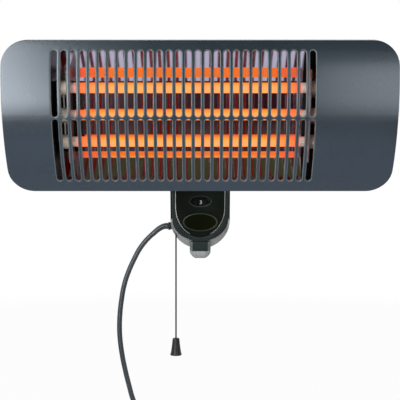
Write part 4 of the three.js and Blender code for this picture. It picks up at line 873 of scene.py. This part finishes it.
# ---------------------------------------------------------------- head: reflector tray
# Bright-rolled aluminium tray behind the tubes: three slats that lean back a little, slanted panels
# above and below them, and ledges out to the slots. Its lavender tint is a painted reflection; its
# ends are painted near black.
# The lavender tint of this bright metal is a painted reflection.
polished = finish(
    "bright_rolled_aluminium", tint(221, 214, 243), 0.06, drift=0.08, grain=260, relief=0.000004,
    stretch=(0.12, 1, 1), metallic=1.0, uneven=0.9,
)
TRAY_SECTION = [  # depth and height, from the lower mouth up; a small step behind each tube
    (-31.4, -81.1), (-4.2, -81.1), (11.9, -51.0), (14.0, -36.0), (10.1, -36.0), (14.0, -2.0),
    (10.1, -2.0), (14.0, 32.0), (13.3, 32.0), (15.8, 40.1), (2.2, 84.6), (-31.4, 84.6),
]
tray_bm = bmesh.new()
TRAY_ENDS, DARK_FROM = (-185, 157), (-150, 131)
edge_line = [tray_bm.verts.new((TRAY_ENDS[0], y, z)) for y, z in TRAY_SECTION]
edges = [tray_bm.edges.new(pair) for pair in zip(edge_line, edge_line[1:])]
verts, _ = pulled(tray_bm, edges)
for vert in verts:
    vert.co.x = TRAY_ENDS[1]
for x in TRAY_ENDS:
    tray_bm.faces.new([v for v in tray_bm.verts if abs(v.co.x - x) < 0.1])
for x in DARK_FROM:
    whole = tray_bm.verts[:] + tray_bm.edges[:] + tray_bm.faces[:]
    bmesh.ops.bisect_plane(tray_bm, geom=whole, plane_co=(x, 0, 0), plane_no=(1, 0, 0))
# The faces at both ends are painted near black.
for face in tray_bm.faces:
    middle = face.calc_center_median()
    if middle.x > DARK_FROM[1] or (middle.x < DARK_FROM[0] and abs(middle.z) < 45):
        face.material_index = 1
bmesh.ops.recalc_face_normals(tray_bm, faces=tray_bm.faces)
bmesh.ops.solidify(tray_bm, geom=tray_bm.faces[:], thickness=-0.8)
# Near-black finish for the tray's ends.
near_black_ends = finish(
    "near_black_tray_ends", tint(22, 26, 26), 0.3, drift=0.3, grain=300, metallic=0.7, uneven=0.6
)
fit(
    "reflector_tray", tray_bm, ON_HEAD, "heater", [polished, near_black_ends], ["reflector"], 10
)

# ---------------------------------------------------------------- head: quartz tubes and windings
# Milky quartz tubes that glow, with a painted highlight: peach in front and deep orange behind,
# redder at their cooler ends, with a wound resistance wire inside each.
TUBES = (("upper", 34.2), ("middle", 0.0), ("lower", -34.2))
TUBE_DEPTH = -8.0
quartz = finish(
    "milky_quartz", tint(120, 70, 50), 0.2, drift=0.04, grain=500, relief=0.000004,
    Specular_IOR_Level=0.25, Emission_Strength=1.15,
)
glow = Shade(quartz.node_tree)
own = glow.node("ShaderNodeTexCoord", output="Object")
facing = glow.node("ShaderNodeNewGeometry", output="Normal")
lean = REST_LEAN + math.radians(20)
# Painted highlight: the glow is pale peach where the tube faces forward and down, deep orange
# behind.
toward = facing.dot((0, -math.cos(lean), -math.sin(lean)))
facing_glow = toward.node(
    "ShaderNodeValToRGB",
    {"stops": [(0.0, tint(255, 122, 0)), (0.35, tint(255, 116, 0)), (0.66, tint(255, 136, 10)),
               (0.85, tint(255, 150, 48)), (1.0, tint(255, 162, 84))]},
    {0: toward.ramp(-1, 1)},
)
along = own.dot((1, 0, 0))
from_middle = (along + 0.015).math("ABSOLUTE")
wound = (along * 2200).math("SINE") * 0.5 + 0.5
colour = (from_middle.ramp(0.10, 0.14) * 0.8).mixed(facing_glow, tint(255, 84, 30))
colour = (wound * 0.08).mixed(colour, tint(255, 230, 200))
unlit = from_middle.ramp(0.139, 0.144)
colour = unlit.mixed(colour, tint(30, 16, 12))
milk = unlit.mixed(tint(96, 44, 26), tint(214, 208, 204))
shader = quartz.node_tree.nodes["Principled BSDF"]
quartz.node_tree.links.new(colour.socket, shader.inputs["Emission Color"])
quartz.node_tree.links.new(milk.socket, shader.inputs["Base Color"])
winding_glow = finish(
    "glowing_winding", tint(255, 150, 60), 0.5, drift=0.1, Emission_Color=tint(255, 140, 40),
    Emission_Strength=2.0,
)
TUBE_HALF, WOUND_HALF, TURNS, SIDES = 157.2, 154, 104, 8
for name, rise in TUBES:
    tube_bm = turned(
        [(5.4, -TUBE_HALF), (6.2, -TUBE_HALF), (6.5, 0.4 - TUBE_HALF), (6.5, TUBE_HALF - 0.4),
         (6.2, TUBE_HALF), (5.4, TUBE_HALF), (5.4, -TUBE_HALF)], 40,
    )
    at = ON_HEAD @ Matrix.Translation((-14, TUBE_DEPTH, rise)) @ TO_RIGHT
    fit(f"quartz_{name}", tube_bm, at, "heater", [quartz], [f"quartz_tube_{name}"])

    coil = bpy.data.curves.new("winding", "CURVE")
    coil.dimensions = "3D"
    coil.bevel_depth = 0.45
    coil.bevel_resolution = 0
    spline = coil.splines.new("POLY")
    spline.points.add(TURNS * SIDES)
    for i, point in enumerate(spline.points):
        angle = 2 * math.pi * i / SIDES
        along_tube = -WOUND_HALF + 2 * WOUND_HALF * i / (TURNS * SIDES)
        point.co = (4.2 * math.cos(angle), 4.2 * math.sin(angle), along_tube, 1)
    fit(
        f"winding_{name}", drawn_shape(coil), at, "heater", [winding_glow],
        [f"heating_coil_{name}"],
    )

# ---------------------------------------------------------------- head: end caps, jumpers and leads
# White steatite caps with a stub terminal, and white glass-sleeved wire between them. The tube
# holders are galvanised.
steatite = finish(
    "white_steatite", tint(250, 240, 228), 0.55, drift=0.06, grain=420, relief=0.00006,
    worn=tint(205, 196, 184),
)
for name, rise in TUBES:
    for side, start, turn in (("left", -165.5, TO_LEFT), ("right", 137.5, TO_RIGHT)):
        cap_bm = turned(
            [(6.8, 0), (8.2, 0), (9, 0.8), (9, 7.6), (8.6, 8), (8.6, 8.6), (9, 9), (9, 11.2),
             (8.2, 12), (2.6, 12), (2.2, 11.5), (0, 11.5)], 40,
        )
        at = ON_HEAD @ Matrix.Translation((start, TUBE_DEPTH, rise)) @ turn
        fit(
            f"cap_{name}_{side}", cap_bm, at, "heater", [steatite],
            [f"end_cap_{name}_{side}"],
        )
white_sleeve = finish(
    "white_glass_sleeve", tint(252, 250, 246), 0.6, drift=0.02, grain=2500, relief=0.0001
)
for name, middle in (("upper", 17.1), ("lower", -17.1)):
    sleeve_bm = turned([(0, -7.8), (0.8, -7.8), (1.0, -7.5), (1.0, 7.5), (0.8, 7.8), (0, 7.8)], 16)
    fit(
        f"link_wire_{name}", sleeve_bm, ON_HEAD @ Matrix.Translation((-171.5, TUBE_DEPTH, middle)),
        "heater", [white_sleeve], [f"jumper_{name}"],
    )


def dress(material, *names):
    """Gives a carried-over CAD node its finish."""
    for name in names:
        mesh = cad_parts[name].data
        mesh.materials.clear()
        mesh.materials.append(material)


galvanised = finish(
    "galvanised_sheet", tint(150, 146, 142), 0.42, drift=0.2, grain=120, metallic=0.9, uneven=0.6,
    worn=tint(128, 124, 120),
)
dress(galvanised, "tube_holder_left", "tube_holder_right")
dress(white_sleeve, "lead_upper", "lead_middle", "lead_lower")
dress(steatite, "terminal_block")

# ---------------------------------------------------------------- pull switch, inside the box
# Nylon pulley, steel shaft, ratchet and spring, black switch block: all of them behind the shells.
nylon = finish("white_nylon", tint(228, 226, 218), 0.45, drift=0.06)
dress(zinc, "selector_shaft", "ratchet_wheel", "return_spring", "box_screw_left", "box_screw_right")
dress(nylon, "pull_pulley")
dress(black_plastic, "switch_block", "shaft_bracket", "cord_clamp")
rubber = finish(
    "black_rubber", tint(20, 21, 22), 0.5, drift=0.2, grain=1800, relief=0.00005,
    worn=tint(48, 49, 50),
)
dress(rubber, "friction_washer_left", "friction_washer_right", "harness", "cord_grommet")

# ---------------------------------------------------------------- cable gland and strain relief
# Black rubber bush in the box's side: a collar, and a short slim sleeve that tapers onto the cable.
GLAND_FACE = (-39.8, 14.0, 26.2)
gland_bm = turned(
    [(3.5, -5.9), (4.4, -5.9), (4.4, 0.1), (5.0, 0.1), (5.3, 0.4), (5.3, 2.6), (4.9, 3.1),
     (4.4, 3.2), (3.45, 3.2), (3.5, -5.9)], 40,
)
fit(
    "gland_bush", gland_bm, TILTED @ Matrix.Translation(GLAND_FACE) @ TO_LEFT, "heater",
    [rubber], ["cable_gland"],
)

# ---------------------------------------------------------------- mains cable, coil, tie and plug
# Round rubber cable, 6.8 mm. It bends down from the gland as in the photograph, is wound below into
# two flat layers with a tie round them, and ends in a round two-pin plug.
gland_out = (
    Matrix.Translation(TILT_AXIS) @ Matrix.Rotation(REST_LEAN, 4, "X") @ Vector((-43.3, 14.0, 26.2))
)
LEVEL = TILT_AXIS[2]
WAY = [  # x and height over the tilt axis, down to the coil
    (-53, 26.8), (-65.2, 17.2), (-79.6, 1.2), (-89.3, -16.2), (-96.9, -33.3), (-102.5, -50.7),
    (-106.2, -70.9), (-108.3, -90), (-108.9, -106), (-108.4, -121), (-105.4, -145), (-101.2, -166),
    (-96.3, -186), (-90.7, -205.8), (-83.5, -221), (-74, -233),
]
COIL_X, COIL_TOP, LOOP, PITCH = -58.0, -241.0, 58.0, 7.8
COIL_Z = COIL_TOP - LOOP
LOOPS_IN, CROSSING, ALL_LOOPS = 1.75, 0.5, 4.25


def loop_at(turns):
    """Radius and depth of the coil: in, over to the front layer, and out again."""
    inner = LOOP - PITCH * LOOPS_IN
    if turns <= LOOPS_IN:
        return LOOP - PITCH * turns, PITCH / 2
    over = (turns - LOOPS_IN) / CROSSING
    if over >= 1:
        return inner + PITCH * (over - 1) * CROSSING, -PITCH / 2
    dip = PITCH * CROSSING * math.sin(math.pi * over) / math.pi
    return inner - dip, PITCH / 2 * math.cos(math.pi * over)


route = [tuple(gland_out), (gland_out.x - 3.4, gland_out.y, gland_out.z)]
for i, (x, z) in enumerate(WAY):
    route.append((x, gland_out.y + PITCH / 2 * (i / (len(WAY) - 1)) ** 2, z + LEVEL))
route.append((COIL_X - 6.8, gland_out.y + PITCH / 2, COIL_TOP + LEVEL))
COIL_POINTS = 102
for i in range(COIL_POINTS + 1):
    turns = ALL_LOOPS * i / COIL_POINTS
    radius, depth = loop_at(turns)
    angle = 2 * math.pi * turns
    across, up = radius * math.sin(angle), radius * math.cos(angle)
    route.append((COIL_X + across, gland_out.y + depth, COIL_Z + up + LEVEL))
cord_end = Vector(route[-1])
for i in range(1, 5):
    route.append((cord_end.x, cord_end.y, cord_end.z - 45 * i / 4))
route = [Vector(point) * 0.001 for point in route]


def cable(points, radius, rings, sides, taper=1.0):
    """A round tube through points, whose radius grows or shrinks evenly to its far end."""
    drawn = bpy.data.curves.new("cable", "CURVE")
    drawn.dimensions = "3D"
    drawn.bevel_depth = radius
    drawn.bevel_resolution = sides
    drawn.use_fill_caps = True
    drawn.resolution_u = rings
    spline = drawn.splines.new("BEZIER")
    spline.bezier_points.add(len(points) - 1)
    for i, (knot, point) in enumerate(zip(spline.bezier_points, points)):
        knot.co = point
        knot.radius = 1 + (taper - 1) * i / (len(points) - 1)
        knot.handle_left_type = knot.handle_right_type = "AUTO"
    return drawn_shape(drawn)


cable_rubber = finish(
    "dark_slate_cable", tint(34, 45, 54), 0.36, drift=0.1, grain=1500, relief=0.00003, uneven=0.2,
    worn=tint(42, 52, 60), Specular_IOR_Level=0.5, Coat_Weight=0.15, Coat_Roughness=0.3,
)
IN_PLACE, NO_CREASE = Matrix.Identity(4), 180
mains = fit(
    "mains_cable", cable(route, 0.0034, 4, 4), IN_PLACE, None, [cable_rubber],
    ["mains_cord", "cord_coil"], NO_CREASE,
)
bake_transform(mains)
fit(
    "gland_sleeve", cable(route[:4], 0.0043, 8, 4, 0.82), IN_PLACE, "heater",
    [cable_rubber], crease=NO_CREASE,
)

plug_bm = turned(
    [(0, 0), (3.6, 0), (5.2, -0.6), (5.5, -1.6), (5.5, -4), (5.0, -4.6), (5.0, -5.4), (5.5, -6),
     (5.5, -8), (5.0, -8.6), (5.0, -9.4), (5.5, -10), (5.6, -13), (6.6, -15.6), (11.5, -19),
     (15.6, -22.5), (18.1, -27), (18.5, -30), (18.5, -36), (17.9, -36.6), (17.9, -38.4),
     (18.5, -39), (18.5, -48.6), (17.9, -50.2), (16.5, -51), (0, -51)], 64,
)
for pin in (-9.5, 9.5):
    pin_bm = turned(
        [(0, -50.8), (2.4, -50.8), (2.4, -68.6), (2.0, -69.7), (1.1, -70), (0, -70)], 24
    )
    for face in pin_bm.faces:
        face.material_index = 1
    gather(plug_bm, pin_bm, Matrix.Translation((pin, 0, 0)))
plug_rubber = finish(
    "moulded_plug_rubber", tint(44, 46, 48), 0.45, drift=0.15, grain=1500, relief=0.00005,
    worn=tint(60, 62, 64),
)
plug_end = cord_end + Vector((0, 0, -45.3))
plug = fit(
    "plug_moulding", plug_bm, MM @ Matrix.Translation(plug_end), "wall_bracket",
    [plug_rubber, zinc], ["plug"],
)

tie_bm = bmesh.new()
TIE_TURN = 20  # degrees round the coil
TIE_SLACK, STRAP, TIE_WIDTH = 3.9, 1.2, 5
radii = [loop_at(TIE_TURN / 360 + i)[0] for i in range(5)]
inner, outer = min(radii) - TIE_SLACK, max(radii) + TIE_SLACK
DEEP = PITCH / 2 + TIE_SLACK
rounded_ring(tie_bm, ((outer - inner) / 2 + STRAP, DEEP + STRAP), 3.4, segments=32)
rounded_ring(tie_bm, ((outer - inner) / 2, DEEP), 2.2, segments=32)
thicken(tie_bm, TIE_WIDTH)
soften(tie_bm, 0.3, 2, 60)
strap = finish(
    "woven_tie_strap", tint(34, 35, 37), 0.75, drift=0.15, grain=1800, relief=0.00012,
    worn=tint(56, 57, 60),
)
ROUND_CABLE = Matrix(((0, 1, 0, 0), (0, 0, 1, 0), (1, 0, 0, 0), (0, 0, 0, 1)))  # x to z and y to x
tie_at = (
    MM @ Matrix.Translation((COIL_X, gland_out.y, COIL_Z + LEVEL))
    @ Matrix.Rotation(math.radians(TIE_TURN), 4, "Y")
    @ Matrix.Translation((0, 0, (inner + outer) / 2)) @ ROUND_CABLE
    @ Matrix.Translation((0, -TIE_WIDTH / 2, 0))
)
tie = fit("cable_tie", tie_bm, tie_at, "wall_bracket", [strap], ["cord_tie"])

# ---------------------------------------------------------------- pull cord and toggle
# Thin braided cord from the pulley through the chin, with a small dark bell-shaped toggle.
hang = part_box("pull_cord")
PULL_X, PULL_Y = (hang[0].x + hang[1].x) / 2, (hang[0].y + hang[1].y) / 2
braid = finish(
    "braided_pull_cord", tint(20, 19, 19), 0.7, drift=0.2, grain=2400, relief=0.00008,
    worn=tint(40, 38, 37), Specular_IOR_Level=0.1,
)
top, bottom = hang[1].z, hang[0].z
pull_route = [(PULL_X, PULL_Y, top + (bottom - top) * i / 15) for i in range(16)]
pull = fit(
    "pull_cord_braid", cable(pull_route, 0.001, 2, 2), IN_PLACE, "pull_line", [braid],
    ["pull_cord"], NO_CREASE,
)
dress(braid, "draw_cord")
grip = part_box("cord_toggle")
toggle_bm = turned(
    [(1.1, 0), (3.4, 0), (4.3, -0.5), (4.6, -1.4), (4.75, -3), (5.2, -8), (6.0, -14), (6.9, -19.2),
     (7.5, -21.2), (7.6, -22), (7.3, -22.6), (6.6, -22.7), (6.0, -22.2), (1.1, -20)], 40,
)
toggle_black = finish(
    "toggle_black", tint(25, 30, 31), 0.38, drift=0.15, grain=1500, relief=0.00003,
    worn=tint(38, 42, 42), Specular_IOR_Level=0.3,
)
toggle = fit(
    "toggle_moulding", toggle_bm, Matrix.Translation((PULL_X, PULL_Y, grip[1].z)) @ MM, "pull_line",
    [toggle_black], ["cord_toggle"],
)
